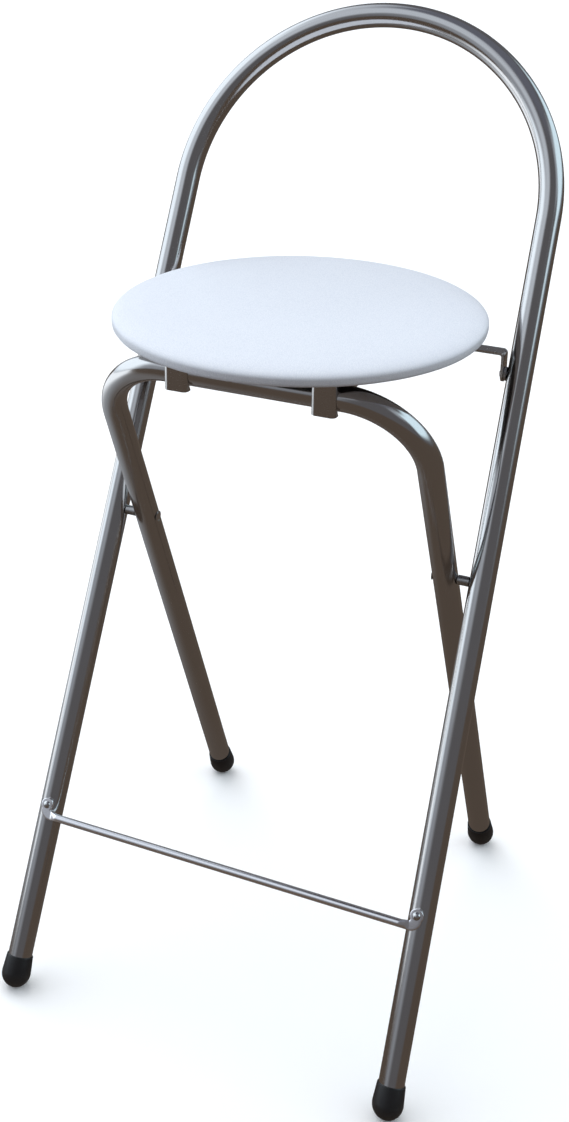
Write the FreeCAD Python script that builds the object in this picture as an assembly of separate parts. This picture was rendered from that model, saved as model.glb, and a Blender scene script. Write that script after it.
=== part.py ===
"""Folding bar stool: a hoop-backed front frame, rear legs pivoted on it, and a tip-up round seat.

Millimetres. +X is the stool's own left-to-right as seen from the front, +Y points to the back, +Z up.
The four feet stand on Z = 0, and the origin is under the middle of the stool's box.
The front face of the stool, with the seat hooks and the foot rail, points to -Y.
"""

import FreeCAD, Part
import math
import os

# Tubes of both frames
TUBE_DIA = 25.4
TUBE_WALL = 1.2
TUBE_R = TUBE_DIA / 2

# Hoop frame: both front legs and the backrest in one bent tube, its plane leaning back
HOOP_LEAN_ANGLE = 27.8
HOOP_SPLAY_ANGLE = 0.52
HOOP_FOOT_HALF = 207.7
HOOP_CENTRE_ALONG = 882.0

# Rear leg frame: an upside-down U, its plane leaning forward
REAR_LEAN_ANGLE = 24.3
REAR_SPLAY_ANGLE = 0.68
REAR_BAR_ALONG = 733.0
REAR_CORNER_R = 76.0
FOOT_SPREAD = 447.5
LEG_GAP = 11.76

# Clearances and fits
FIT = 0.05
RUNNING_FIT = 0.08
SIDE_PLAY = 0.3
HOOK_PLAY = 0.3

# Foot caps
CAP_BULGE_R = 15.3
CAP_RIM_R = 13.9
CAP_RIM_ALONG = 35.0
CAP_FLAT_SINK = 0.8
CAP_BORE_START = 0.9

# Pivot of the rear legs on the hoop frame
PIVOT_SHANK_R = 3.0
PIVOT_HEAD_R = 5.6
PIVOT_HEAD_HEIGHT = 2.6
SPACER_R = 5.0
TAIL_R = 4.4
TAIL_THICK = 2.0

# Foot rail
RAIL_ROD_R = 4.0
RAIL_ALONG = 186.0
RAIL_BEND_R = 6.4
RAIL_TAB_RISE = 10.4
RAIL_TAB_HALF = 6.8
RAIL_TAB_THICK = 3.6
RAIL_TAB_INWARD = 1.5
RAIL_PRESS_START = 15.0
RAIL_PRESS_END = 5.5
RAIL_SHANK_R = 2.5
RAIL_HEAD_R = 4.0
RAIL_HEAD_HEIGHT = 2.6

# Seat cushion, heights above its underside
SEAT_SETBACK_SHARE = 0.5578
SEAT_OVER_BAR = 16.94
SEAT_R = 184.0
SEAT_UNDER_R = 151.5
SEAT_WIDEST = 18.0
SEAT_THICK = 32.5
SEAT_CROWN_FULLNESS = 0.783
SEAT_SIDE_FULLNESS = 0.6
SEAT_EDGE_ROUNDING = 0.25
VINYL = 1.2
HEM_WIDTH = 33.5
HEM_INNER_R = SEAT_UNDER_R - HEM_WIDTH
DUST_COVER = 1.0
DUST_COVER_R = SEAT_UNDER_R - 2.5
BOARD_R = SEAT_UNDER_R - 2.1
BOARD_THICK = 12.0
FOAM_GAP = 0.2

# Hinge bar under the seat, with an ear at each end that hangs from the hoop frame
BAR_WIDTH = 16.0
BAR_THICK = 2.5
BAR_BEND_R = 2.0
EAR_REACH = 23.7
EAR_GAP = 2.92
HINGE_SHANK_R = 3.0
HINGE_HEAD_R = 5.5
HINGE_HEAD_HEIGHT = 2.4
HINGE_WASHER_R = 7.0

# Seat rails: pressed channels whose front ends are the hooks over the rear frame's crossbar
HOOK_X = 74.25
CHANNEL_WIDTH = 24.5
CHANNEL_SHEET = 1.6
CHANNEL_CORNER_R = 5.0
CHANNEL_DEPTH = 19.8
CHANNEL_TAIL = 22.0
HOOK_FRONT = 16.2
HOOK_DROP = 14.9
HOOK_PATH_FRONT_ANGLE = 24.8
HOOK_PATH_BACK_ANGLE = 32.0

# Fasteners
SCREW_SHANK_R = 2.0
SCREW_HEAD_R = 4.2
SCREW_HEAD_HEIGHT = 2.2
SCREW_BITE = 9.0
RAIL_SCREW_PLACES = (38.0, 128.0)
STAPLE_COUNT = 18
STAPLE_CIRCLE_R = SEAT_UNDER_R - 15.5
STAPLE_WIDTH = 10.0
STAPLE_WIRE = 1.0
STAPLE_LEG = 7.0
STAPLE_CLEAR_OF_RAILS = 30.0

PROUD = 1.0


def vec(x, y, z):
    """Return a FreeCAD vector."""
    return FreeCAD.Vector(x, y, z)


def sine(degrees):
    """Return the sine of an angle in degrees."""
    return math.sin(math.radians(degrees))


def cosine(degrees):
    """Return the cosine of an angle in degrees."""
    return math.cos(math.radians(degrees))


def tangent(degrees):
    """Return the tangent of an angle in degrees."""
    return math.tan(math.radians(degrees))


# Side view: the frames' planes, the origin and the joints
HOOP_R = HOOP_FOOT_HALF * cosine(HOOP_SPLAY_ANGLE) - HOOP_CENTRE_ALONG * sine(HOOP_SPLAY_ANGLE)
HOOP_TOP_ALONG = HOOP_CENTRE_ALONG + HOOP_R
CAP_AXIS_UP = CAP_BULGE_R - CAP_FLAT_SINK
FRONT_REACH = CAP_BULGE_R - CAP_AXIS_UP * tangent(HOOP_LEAN_ANGLE)
BACK_REACH = HOOP_TOP_ALONG * sine(HOOP_LEAN_ANGLE) + TUBE_R
HOOP_FOOT_Y = (FRONT_REACH - BACK_REACH) / 2
REAR_FOOT_Y = HOOP_FOOT_Y + FOOT_SPREAD

PIVOT_Z = FOOT_SPREAD / (tangent(HOOP_LEAN_ANGLE) + tangent(REAR_LEAN_ANGLE))
PIVOT_Y = HOOP_FOOT_Y + PIVOT_Z * tangent(HOOP_LEAN_ANGLE)
PIVOT_ALONG_HOOP = PIVOT_Z / cosine(HOOP_LEAN_ANGLE)
PIVOT_ALONG_REAR = PIVOT_Z / cosine(REAR_LEAN_ANGLE)
CROSSBAR_Y = REAR_FOOT_Y - REAR_BAR_ALONG * sine(REAR_LEAN_ANGLE)
CROSSBAR_Z = REAR_BAR_ALONG * cosine(REAR_LEAN_ANGLE)

SEAT_Z = CROSSBAR_Z + SEAT_OVER_BAR
BAR_TOP = SEAT_Z - CHANNEL_DEPTH
HINGE_Z = BAR_TOP - EAR_REACH
HINGE_Y = HOOP_FOOT_Y + HINGE_Z * tangent(HOOP_LEAN_ANGLE)
HINGE_ALONG = HINGE_Z / cosine(HOOP_LEAN_ANGLE)
SEAT_Y = CROSSBAR_Y + (HINGE_Y - CROSSBAR_Y) * SEAT_SETBACK_SHARE

HOOK_FRONT_Y = CROSSBAR_Y - HOOK_FRONT
CHANNEL_BACK_Y = HINGE_Y + CHANNEL_TAIL
CHANNEL_ROOF = SEAT_Z - CHANNEL_SHEET


def hoop_half_width(along):
    """Half the distance between the hoop frame's leg axes, at a distance along its plane."""
    return HOOP_FOOT_HALF - along * tangent(HOOP_SPLAY_ANGLE)


# The rear legs stand inside the front legs by the gap that the pivot spacers fill
REAR_PIVOT_HALF = hoop_half_width(PIVOT_ALONG_HOOP) - TUBE_DIA - LEG_GAP
REAR_FOOT_HALF = REAR_PIVOT_HALF + PIVOT_ALONG_REAR * tangent(REAR_SPLAY_ANGLE)


def rear_half_width(along):
    """Half the distance between the rear frame's leg axes, at a distance along its plane."""
    return REAR_FOOT_HALF - along * tangent(REAR_SPLAY_ANGLE)


def on_hoop(x, along, forward=0.0):
    """A point in the hoop frame's plane: across, up along it, and in front of it."""
    y = HOOP_FOOT_Y + along * sine(HOOP_LEAN_ANGLE) - forward * cosine(HOOP_LEAN_ANGLE)
    z = along * cosine(HOOP_LEAN_ANGLE) + forward * sine(HOOP_LEAN_ANGLE)
    return vec(x, y, z)


def on_rear(x, along):
    """A point in the rear frame's plane: across, and up along it."""
    return vec(x, REAR_FOOT_Y - along * sine(REAR_LEAN_ANGLE), along * cosine(REAR_LEAN_ANGLE))


def cylinder(start, direction, radius, length):
    """A round bar from a point along a direction."""
    return Part.makeCylinder(radius, length, start, direction)


def drill(body, start, direction, radius, length):
    """Cut a round hole out of a body."""
    return body.cut(cylinder(start, direction, radius, length))


def swept_tube(path, start, direction):
    """A hollow round tube along a path wire, with the frames' diameter and wall."""
    outer = Part.Wire(Part.makeCircle(TUBE_R, start, direction))
    inner = Part.Wire(Part.makeCircle(TUBE_R - TUBE_WALL, start, direction))
    outside = path.makePipeShell([outer], True, False)
    inside = path.makePipeShell([inner], True, False)
    return outside.cut(inside)


def dome_head(start, direction, radius, height):
    """A domed rivet head that stands on a point and points along a direction."""
    ball_r = (radius * radius + height * height) / (2 * height)
    centre = start - direction * (ball_r - height)
    ball = Part.makeSphere(ball_r, centre)
    return ball.common(cylinder(start, direction, radius + PROUD, height + PROUD))


def blind_rivet(start, direction, length, shank_r, head_r, head_height):
    """A rivet with a domed head at its start and an upset tail inside the tube at its far end."""
    end = start + direction * length
    rivet = cylinder(start, direction, shank_r, length)
    rivet = rivet.fuse(dome_head(start, direction * -1, head_r, head_height))
    return rivet.fuse(cylinder(end - direction * TAIL_THICK, direction, TAIL_R, TAIL_THICK)).removeSplitter()


# Hoop frame
def build_hoop_frame():
    """One tube: up the left front leg, round the hoop of the backrest and down the right leg."""
    end_along = tube_end_along(HOOP_LEAN_ANGLE)
    meet_x = HOOP_R * cosine(HOOP_SPLAY_ANGLE)
    meet_along = HOOP_CENTRE_ALONG + HOOP_R * sine(HOOP_SPLAY_ANGLE)
    foot_left = on_hoop(-hoop_half_width(end_along), end_along)
    foot_right = on_hoop(hoop_half_width(end_along), end_along)
    meet_left = on_hoop(-meet_x, meet_along)
    meet_right = on_hoop(meet_x, meet_along)
    top = on_hoop(0, HOOP_TOP_ALONG)
    left_leg = Part.LineSegment(foot_left, meet_left).toShape()
    bow = Part.Arc(meet_left, top, meet_right).toShape()
    right_leg = Part.LineSegment(meet_right, foot_right).toShape()
    tube = swept_tube(Part.Wire([left_leg, bow, right_leg]), foot_left, meet_left - foot_left)
    for side in (-1, 1):
        tube = cut_hoop_holes(tube, side)
    return tube


def cut_hoop_holes(tube, side):
    """Drill one leg: pivot and seat hinge through its inner wall, foot rail through both walls."""
    for along, shank in ((PIVOT_ALONG_HOOP, PIVOT_SHANK_R), (HINGE_ALONG, HINGE_SHANK_R)):
        start = on_hoop(side * hoop_half_width(along), along)
        tube = drill(tube, start, vec(-side, 0, 0), shank + FIT, TUBE_DIA)
    start = on_hoop(side * RAIL_TAB_X, RAIL_TAB_ALONG, TUBE_DIA)
    return drill(tube, start, HOOP_BACKWARD, RAIL_SHANK_R + FIT, 2 * TUBE_DIA)


def tube_end_along(lean):
    """Where a leg tube ends inside its foot cap, along the leaning plane."""
    return CAP_AXIS_UP / cosine(lean) + CAP_BORE_START


# Rear legs
def build_rear_leg_frame():
    """One tube: up a rear leg, over the crossbar that holds the seat up, and down the other."""
    end_along = tube_end_along(REAR_LEAN_ANGLE)
    bar_half = rear_half_width(REAR_BAR_ALONG)
    turn = 90 - REAR_SPLAY_ANGLE
    cut_back = REAR_CORNER_R * tangent(turn / 2)
    bend_x = bar_half - cut_back
    leg_meet_along = REAR_BAR_ALONG - cut_back * cosine(REAR_SPLAY_ANGLE)
    leg_meet_x = bar_half + cut_back * sine(REAR_SPLAY_ANGLE)
    mid_x = bend_x + REAR_CORNER_R * sine(turn / 2)
    mid_along = REAR_BAR_ALONG - REAR_CORNER_R * (1 - cosine(turn / 2))
    foot = rear_half_width(end_along)
    left = [on_rear(-foot, end_along), on_rear(-leg_meet_x, leg_meet_along)]
    right = [on_rear(leg_meet_x, leg_meet_along), on_rear(foot, end_along)]
    bar = [on_rear(-bend_x, REAR_BAR_ALONG), on_rear(bend_x, REAR_BAR_ALONG)]
    edges = [
        Part.LineSegment(left[0], left[1]).toShape(),
        Part.Arc(left[1], on_rear(-mid_x, mid_along), bar[0]).toShape(),
        Part.LineSegment(bar[0], bar[1]).toShape(),
        Part.Arc(bar[1], on_rear(mid_x, mid_along), right[0]).toShape(),
        Part.LineSegment(right[0], right[1]).toShape(),
    ]
    tube = swept_tube(Part.Wire(edges), left[0], left[1] - left[0])
    for side in (-1, 1):
        start = on_rear(side * (rear_half_width(PIVOT_ALONG_REAR) + TUBE_DIA), PIVOT_ALONG_REAR)
        tube = drill(tube, start, vec(-side, 0, 0), PIVOT_SHANK_R + RUNNING_FIT, 2 * TUBE_DIA)
    return tube


# Foot caps
def build_foot_cap(foot, up):
    """A plastic boot with a rim, a bulged side and a ball end with a small flat on the floor."""
    ball_along = CAP_AXIS_UP / up.z
    centre = foot + up * ball_along
    skirt = Part.makeCone(CAP_BULGE_R, CAP_RIM_R, CAP_RIM_ALONG - ball_along, centre, up)
    boot = skirt.fuse(Part.makeSphere(CAP_BULGE_R, centre)).removeSplitter()
    end_along = ball_along + CAP_BORE_START
    bore = cylinder(foot + up * (end_along - FIT), up, TUBE_R + FIT, CAP_RIM_ALONG)
    size = 2 * CAP_BULGE_R
    below = Part.makeBox(2 * size, 2 * size, size, vec(centre.x - size, centre.y - size, -size))
    return boot.cut(bore).cut(below)


def build_foot_caps():
    """The four foot caps, by node name."""
    caps = {}
    for name, side in (("left", -1), ("right", 1)):
        foot = on_hoop(side * HOOP_FOOT_HALF, 0)
        up = (on_hoop(side * hoop_half_width(CAP_RIM_ALONG), CAP_RIM_ALONG) - foot).normalize()
        caps["front_foot_cap_" + name] = build_foot_cap(foot, up)
        foot = on_rear(side * REAR_FOOT_HALF, 0)
        up = (on_rear(side * rear_half_width(CAP_RIM_ALONG), CAP_RIM_ALONG) - foot).normalize()
        caps["rear_foot_cap_" + name] = build_foot_cap(foot, up)
    return caps


# Pivot rivets and spacers
TAIL_SEAT = math.sqrt((TUBE_R - TUBE_WALL) ** 2 - TAIL_R ** 2) - FIT


def build_pivot(side):
    """The rivet and the spacer tube that join a rear leg to the hoop frame on one side."""
    outward = vec(side, 0, 0)
    head_x = rear_half_width(PIVOT_ALONG_REAR) - TUBE_R - SIDE_PLAY
    tail_x = hoop_half_width(PIVOT_ALONG_HOOP) - TAIL_SEAT + TAIL_THICK
    head = vec(side * head_x, PIVOT_Y, PIVOT_Z)
    rivet = blind_rivet(head, outward, tail_x - head_x, PIVOT_SHANK_R, PIVOT_HEAD_R, PIVOT_HEAD_HEIGHT)
    gap_start = rear_half_width(PIVOT_ALONG_REAR) + TUBE_R + SIDE_PLAY + SPACER_R * tangent(REAR_SPLAY_ANGLE)
    gap_end = hoop_half_width(PIVOT_ALONG_HOOP) - TUBE_R - FIT - SPACER_R * tangent(HOOP_SPLAY_ANGLE)
    start = vec(side * gap_start, PIVOT_Y, PIVOT_Z)
    spacer = cylinder(start, outward, SPACER_R, gap_end - gap_start)
    spacer = drill(spacer, start, outward, PIVOT_SHANK_R + FIT, gap_end - gap_start)
    return rivet, spacer


# Foot rail
RAIL_FORWARD = TUBE_R + RAIL_ROD_R + FIT
RAIL_TAB_ALONG = RAIL_ALONG + RAIL_TAB_RISE
RAIL_TAB_X = hoop_half_width(RAIL_TAB_ALONG) - RAIL_TAB_INWARD
RAIL_BEND_X = RAIL_TAB_X - RAIL_BEND_R
HOOP_FORWARD = on_hoop(0, 0, 1) - on_hoop(0, 0)
HOOP_BACKWARD = on_hoop(0, 0, -1) - on_hoop(0, 0)


def rail_bend(side):
    """Centre line of the upward bend at one end of the rail, from its straight part outward."""
    half = math.sqrt(0.5) * RAIL_BEND_R
    flat = [(0, 0), (half, RAIL_BEND_R - half), (RAIL_BEND_R, RAIL_BEND_R)]
    points = [on_hoop(side * (RAIL_BEND_X + out), RAIL_ALONG + up, RAIL_FORWARD) for out, up in flat]
    return Part.Arc(points[0], points[1], points[2]).toShape()


def rail_press(side):
    """The wedge of metal that the press takes off the front of one bent end of the rail."""
    front = RAIL_FORWARD + RAIL_ROD_R
    face = TUBE_R + FIT + RAIL_TAB_THICK
    beyond = RAIL_TAB_X + 2 * RAIL_TAB_HALF
    low = RAIL_ALONG - 2 * RAIL_ROD_R
    outline = [
        (RAIL_TAB_X - RAIL_PRESS_START, front + PROUD),
        (RAIL_TAB_X - RAIL_PRESS_START, front),
        (RAIL_TAB_X - RAIL_PRESS_END, face),
        (beyond, face),
        (beyond, front + PROUD),
    ]
    corners = [on_hoop(side * x, low, forward) for x, forward in outline]
    wedge = Part.Face(Part.makePolygon(corners + corners[:1]))
    return wedge.extrude(on_hoop(0, RAIL_TAB_RISE + 4 * RAIL_ROD_R) - on_hoop(0, 0))


def build_foot_rail():
    """A round rod across the front legs, each end bent up and pressed into a round flat tab."""
    bends = [rail_bend(-1), rail_bend(1)]
    start = on_hoop(-RAIL_BEND_X, RAIL_ALONG, RAIL_FORWARD)
    straight = Part.LineSegment(start, on_hoop(RAIL_BEND_X, RAIL_ALONG, RAIL_FORWARD)).toShape()
    path = Part.Wire(Part.__sortEdges__([bends[0], straight, bends[1]]))
    first = path.OrderedEdges[0]
    begin = path.OrderedVertexes[0].Point
    end_is_first = begin.distanceToPoint(first.valueAt(first.FirstParameter)) < FIT
    place = first.FirstParameter if end_is_first else first.LastParameter
    ring = Part.Wire(Part.makeCircle(RAIL_ROD_R, begin, first.tangentAt(place)))
    rail = path.makePipeShell([ring], True, False)
    for side in (-1, 1):
        back = on_hoop(side * RAIL_TAB_X, RAIL_TAB_ALONG, TUBE_R + 2 * FIT)
        rail = rail.cut(rail_press(side))
        rail = rail.fuse(cylinder(back, HOOP_FORWARD, RAIL_TAB_HALF, RAIL_TAB_THICK - FIT))
        rail = drill(rail, back - HOOP_FORWARD, HOOP_FORWARD, RAIL_SHANK_R + FIT, RAIL_TAB_THICK + PROUD)
    return rail


def build_rail_rivet(side):
    """The rivet through one tab of the foot rail and its leg, a domed head at each end."""
    x = side * RAIL_TAB_X
    front = on_hoop(x, RAIL_TAB_ALONG, TUBE_R + RAIL_TAB_THICK + 2 * FIT)
    length = 2 * TUBE_R + RAIL_TAB_THICK + 3 * FIT
    ball_r = (RAIL_HEAD_R ** 2 + RAIL_HEAD_HEIGHT ** 2) / (2 * RAIL_HEAD_HEIGHT)
    half = math.asin(RAIL_HEAD_R / ball_r) / 2
    dome_x = ball_r * math.sin(half)
    dome_drop = ball_r * (1 - math.cos(half))
    top = length + RAIL_HEAD_HEIGHT
    low_mid = vec(dome_x, 0, dome_drop - RAIL_HEAD_HEIGHT)
    low_dome = Part.Arc(vec(0, 0, -RAIL_HEAD_HEIGHT), low_mid, vec(RAIL_HEAD_R, 0, 0))
    high_dome = Part.Arc(vec(RAIL_HEAD_R, 0, length), vec(dome_x, 0, top - dome_drop), vec(0, 0, top))
    edges = [
        low_dome.toShape(),
        Part.LineSegment(vec(RAIL_HEAD_R, 0, 0), vec(RAIL_SHANK_R, 0, 0)).toShape(),
        Part.LineSegment(vec(RAIL_SHANK_R, 0, 0), vec(RAIL_SHANK_R, 0, length)).toShape(),
        Part.LineSegment(vec(RAIL_SHANK_R, 0, length), vec(RAIL_HEAD_R, 0, length)).toShape(),
        high_dome.toShape(),
        Part.LineSegment(vec(0, 0, top), vec(0, 0, -RAIL_HEAD_HEIGHT)).toShape(),
    ]
    rivet = Part.Face(Part.Wire(edges)).revolve(vec(0, 0, 0), vec(0, 0, 1), 360)
    rivet.Placement = FreeCAD.Placement(front, FreeCAD.Rotation(vec(0, 0, 1), HOOP_BACKWARD))
    return rivet


# Seat hinge
BAR_BOTTOM = BAR_TOP - BAR_THICK
EAR_OUTER_X = hoop_half_width(HINGE_ALONG) - TUBE_R - EAR_GAP
EAR_INNER_X = EAR_OUTER_X - BAR_THICK


def build_seat_hinge_bar():
    """A flat steel strip under the seat, both ends bent down into round-ended ears."""
    front = HINGE_Y - BAR_WIDTH / 2
    strip = Part.makeBox(2 * EAR_OUTER_X, BAR_WIDTH, BAR_THICK, vec(-EAR_OUTER_X, front, BAR_BOTTOM))
    for side in (-1, 1):
        x = min(side * EAR_INNER_X, side * EAR_OUTER_X)
        ear = Part.makeBox(BAR_THICK, BAR_WIDTH, BAR_TOP - HINGE_Z, vec(x, front, HINGE_Z))
        tip = cylinder(vec(x, HINGE_Y, HINGE_Z), vec(1, 0, 0), BAR_WIDTH / 2, BAR_THICK)
        strip = strip.fuse(ear).fuse(tip)
    strip = strip.removeSplitter()
    strip = round_bar_bends(strip)
    for side in (-1, 1):
        start = vec(side * (EAR_INNER_X - PROUD), HINGE_Y, HINGE_Z)
        strip = drill(strip, start, vec(side, 0, 0), HINGE_SHANK_R + RUNNING_FIT, BAR_THICK + 2 * PROUD)
        for y in bar_screw_ys():
            place = vec(side * HOOK_X, y, BAR_BOTTOM - PROUD)
            strip = drill(strip, place, vec(0, 0, 1), SCREW_SHANK_R + FIT, BAR_THICK + 2 * PROUD)
    return strip


def round_bar_bends(strip):
    """Round the outside and inside of the two bends of the hinge bar."""
    outside = [edge for edge in strip.Edges if is_bend_edge(edge, EAR_OUTER_X, BAR_TOP)]
    strip = strip.makeFillet(BAR_BEND_R + BAR_THICK, outside)
    inside = [edge for edge in strip.Edges if is_bend_edge(edge, EAR_INNER_X, BAR_BOTTOM)]
    return strip.makeFillet(BAR_BEND_R, inside)


def is_bend_edge(edge, x, z):
    """Whether an edge runs across the strip at a corner of one of its bends."""
    box = edge.BoundBox
    across = box.YLength > BAR_WIDTH - FIT and box.XLength < FIT and box.ZLength < FIT
    return across and abs(abs(box.Center.x) - x) < FIT and abs(box.Center.z - z) < FIT


def build_seat_hinge(side):
    """The rivet through one front leg and its ear, and the washer between them."""
    outward = vec(side, 0, 0)
    axis_x = hoop_half_width(HINGE_ALONG)
    head_x = EAR_INNER_X - SIDE_PLAY
    tail_x = axis_x - TAIL_SEAT + TAIL_THICK
    head = vec(side * head_x, HINGE_Y, HINGE_Z)
    rivet = blind_rivet(head, outward, tail_x - head_x, HINGE_SHANK_R, HINGE_HEAD_R, HINGE_HEAD_HEIGHT)
    start = vec(side * (EAR_OUTER_X + SIDE_PLAY), HINGE_Y, HINGE_Z)
    thick = axis_x - TUBE_R - FIT - HINGE_WASHER_R * tangent(HOOP_SPLAY_ANGLE) - EAR_OUTER_X - SIDE_PLAY
    washer = cylinder(start, outward, HINGE_WASHER_R, thick)
    washer = drill(washer, start, outward, HINGE_SHANK_R + FIT, thick)
    return rivet, washer


# Seat rails with their hooks
def bar_screw_ys():
    """Places of the screws through the hinge bar and one rail, front to back."""
    return (HINGE_Y,)


def rail_screw_ys():
    """Places of the rail's own screws, from its front to its back."""
    return tuple(HOOK_FRONT_Y + place for place in RAIL_SCREW_PLACES)


def channel_block(x, inset):
    """The rail's outside form, or its hollow where inset is the sheet, before its side is cut."""
    width = CHANNEL_WIDTH - 2 * inset
    front = HOOK_FRONT_Y + inset
    bottom = CROSSBAR_Z - HOOK_DROP - (PROUD if inset else 0)
    length = CHANNEL_BACK_Y - front + (PROUD if inset else 0)
    block = Part.makeBox(width, length, SEAT_Z - inset - bottom, vec(x - width / 2, front, bottom))
    uprights = [edge for edge in block.Edges if is_front_upright(edge, front)]
    return block.makeFillet(CHANNEL_CORNER_R - inset, uprights)


def is_front_upright(edge, front):
    """Whether an edge stands upright at the front face of a rail."""
    box = edge.BoundBox
    return box.XLength < FIT and box.YLength < FIT and abs(box.Center.y - front) < FIT


def hook_opening():
    """Side outline cut out of a rail: under its flanges, and round the crossbar along its path."""
    notch_r = TUBE_R + HOOK_PLAY
    low = CROSSBAR_Z - HOOK_DROP - PROUD
    front_dir = vec(0, sine(HOOK_PATH_FRONT_ANGLE), -cosine(HOOK_PATH_FRONT_ANGLE))
    front_out = vec(0, -cosine(HOOK_PATH_FRONT_ANGLE), -sine(HOOK_PATH_FRONT_ANGLE))
    back_dir = vec(0, sine(HOOK_PATH_BACK_ANGLE), -cosine(HOOK_PATH_BACK_ANGLE))
    back_out = vec(0, cosine(HOOK_PATH_BACK_ANGLE), sine(HOOK_PATH_BACK_ANGLE))
    centre = vec(0, CROSSBAR_Y, CROSSBAR_Z)
    front_touch = centre + front_out * notch_r
    back_touch = centre + back_out * notch_r
    top = centre + vec(0, 0, notch_r)
    front_low = front_touch + front_dir * ((front_touch.z - low) / -front_dir.z)
    back_turn = back_touch + back_dir * ((back_touch.z - BAR_TOP) / -back_dir.z)
    tail = CHANNEL_BACK_Y + PROUD
    edges = [
        Part.Arc(front_touch, top, back_touch).toShape(),
        Part.LineSegment(back_touch, back_turn).toShape(),
        Part.LineSegment(back_turn, vec(0, tail, BAR_TOP)).toShape(),
        Part.LineSegment(vec(0, tail, BAR_TOP), vec(0, tail, low)).toShape(),
        Part.LineSegment(vec(0, tail, low), front_low).toShape(),
        Part.LineSegment(front_low, front_touch).toShape(),
    ]
    face = Part.Face(Part.Wire(edges))
    face.translate(vec(-2 * EAR_OUTER_X, 0, 0))
    return face.extrude(vec(4 * EAR_OUTER_X, 0, 0))


def build_seat_rail(side):
    """A pressed steel channel under the seat whose closed front end hooks over the crossbar."""
    x = side * HOOK_X
    rail = channel_block(x, 0).cut(channel_block(x, CHANNEL_SHEET))
    rail = rail.cut(hook_opening())
    for y in rail_screw_ys() + bar_screw_ys():
        below = vec(x, y, CHANNEL_ROOF - PROUD)
        rail = drill(rail, below, vec(0, 0, 1), SCREW_SHANK_R + FIT, CHANNEL_SHEET + 2 * PROUD)
    return rail


# Seat cushion
BOARD_BOTTOM = SEAT_Z + DUST_COVER + VINYL
HEM_BOTTOM = SEAT_Z + DUST_COVER


def bezier(poles):
    """An edge along a Bezier curve, in the section plane."""
    curve = Part.BezierCurve()
    curve.setPoles([vec(out, 0, up) for out, up in poles])
    return curve.toShape()


def cushion_section(inset, floor):
    """Closed half section of the cushion, set in by a thickness, down to a floor height."""
    widest = SEAT_Z + SEAT_WIDEST
    peak = SEAT_Z + SEAT_THICK - inset
    reach = SEAT_R - inset
    slope = (SEAT_WIDEST - DUST_COVER) / (SEAT_R - SEAT_UNDER_R)
    inward = inset * math.sqrt(1 + slope * slope) / slope
    foot = SEAT_UNDER_R - inward + (floor - HEM_BOTTOM) / slope
    bulge = (foot + (reach - foot) * SEAT_SIDE_FULLNESS, floor + (widest - floor) * SEAT_SIDE_FULLNESS)
    turn = (reach, widest - (widest - floor) * SEAT_EDGE_ROUNDING)
    shoulder = (reach, widest + (peak - widest) * SEAT_CROWN_FULLNESS)
    dome = (reach * SEAT_CROWN_FULLNESS, peak)
    return [
        Part.LineSegment(vec(0, 0, floor), vec(foot, 0, floor)).toShape(),
        bezier([(foot, floor), bulge, turn, (reach, widest)]),
        bezier([(reach, widest), shoulder, dome, (0, peak)]),
        Part.LineSegment(vec(0, 0, peak), vec(0, 0, floor)).toShape(),
    ]


def seat_turned(edges):
    """Revolve a cushion outline round the seat's own upright axis."""
    solid = Part.Face(Part.Wire(edges)).revolve(vec(0, 0, 0), vec(0, 0, 1), 360)
    solid.translate(vec(0, SEAT_Y, 0))
    return solid


def seat_disc(radius, bottom, thick):
    """A flat disc on the seat's axis."""
    return Part.makeCylinder(radius, thick, vec(0, SEAT_Y, bottom))


def build_seat_board():
    """The round plywood board inside the cushion, drilled for the screws of the rails."""
    board = seat_disc(BOARD_R, BOARD_BOTTOM, BOARD_THICK)
    return cut_staple_slots(cut_screw_holes(board, BOARD_BOTTOM - PROUD), 0)


def build_seat_foam():
    """The foam pad: over the board, down round its edge, crowned and drawn in below."""
    outside = VINYL + FOAM_GAP
    pad = seat_turned(cushion_section(outside, BOARD_BOTTOM))
    return pad.cut(seat_disc(BOARD_R + FOAM_GAP, BOARD_BOTTOM - PROUD, BOARD_THICK + PROUD + FOAM_GAP))


def build_seat_cover():
    """The vinyl cover: crowned top, sides drawn in, and a hem turned in under the board."""
    skin = seat_turned(cushion_section(0, HEM_BOTTOM))
    hollow = seat_turned(cushion_section(VINYL, BOARD_BOTTOM - FIT))
    skin = skin.cut(hollow)
    opening = seat_disc(HEM_INNER_R, HEM_BOTTOM - PROUD, 3 * PROUD + VINYL)
    return cut_staple_slots(cut_screw_holes(skin.cut(opening), HEM_BOTTOM - PROUD), 1)


def build_dust_cover():
    """The black cloth over the underside, stepped up onto the board inside the hem."""
    cloth = seat_disc(DUST_COVER_R, SEAT_Z, DUST_COVER)
    raised = seat_disc(HEM_INNER_R - FOAM_GAP, HEM_BOTTOM - FIT, VINYL)
    recess = seat_disc(HEM_INNER_R - FOAM_GAP - DUST_COVER, SEAT_Z - PROUD, PROUD + VINYL)
    cloth = cloth.fuse(raised).cut(recess)
    return cut_staple_slots(cut_screw_holes(cloth, SEAT_Z - PROUD), 1)


def cut_screw_holes(body, bottom):
    """Drill a board, cloth or hem for every screw of both rails."""
    top = SEAT_Z + DUST_COVER + VINYL + SCREW_BITE
    for side in (-1, 1):
        for y in rail_screw_ys() + bar_screw_ys():
            start = vec(side * HOOK_X, y, bottom)
            body = drill(body, start, vec(0, 0, 1), SCREW_SHANK_R + FIT, top - bottom)
    return body


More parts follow.
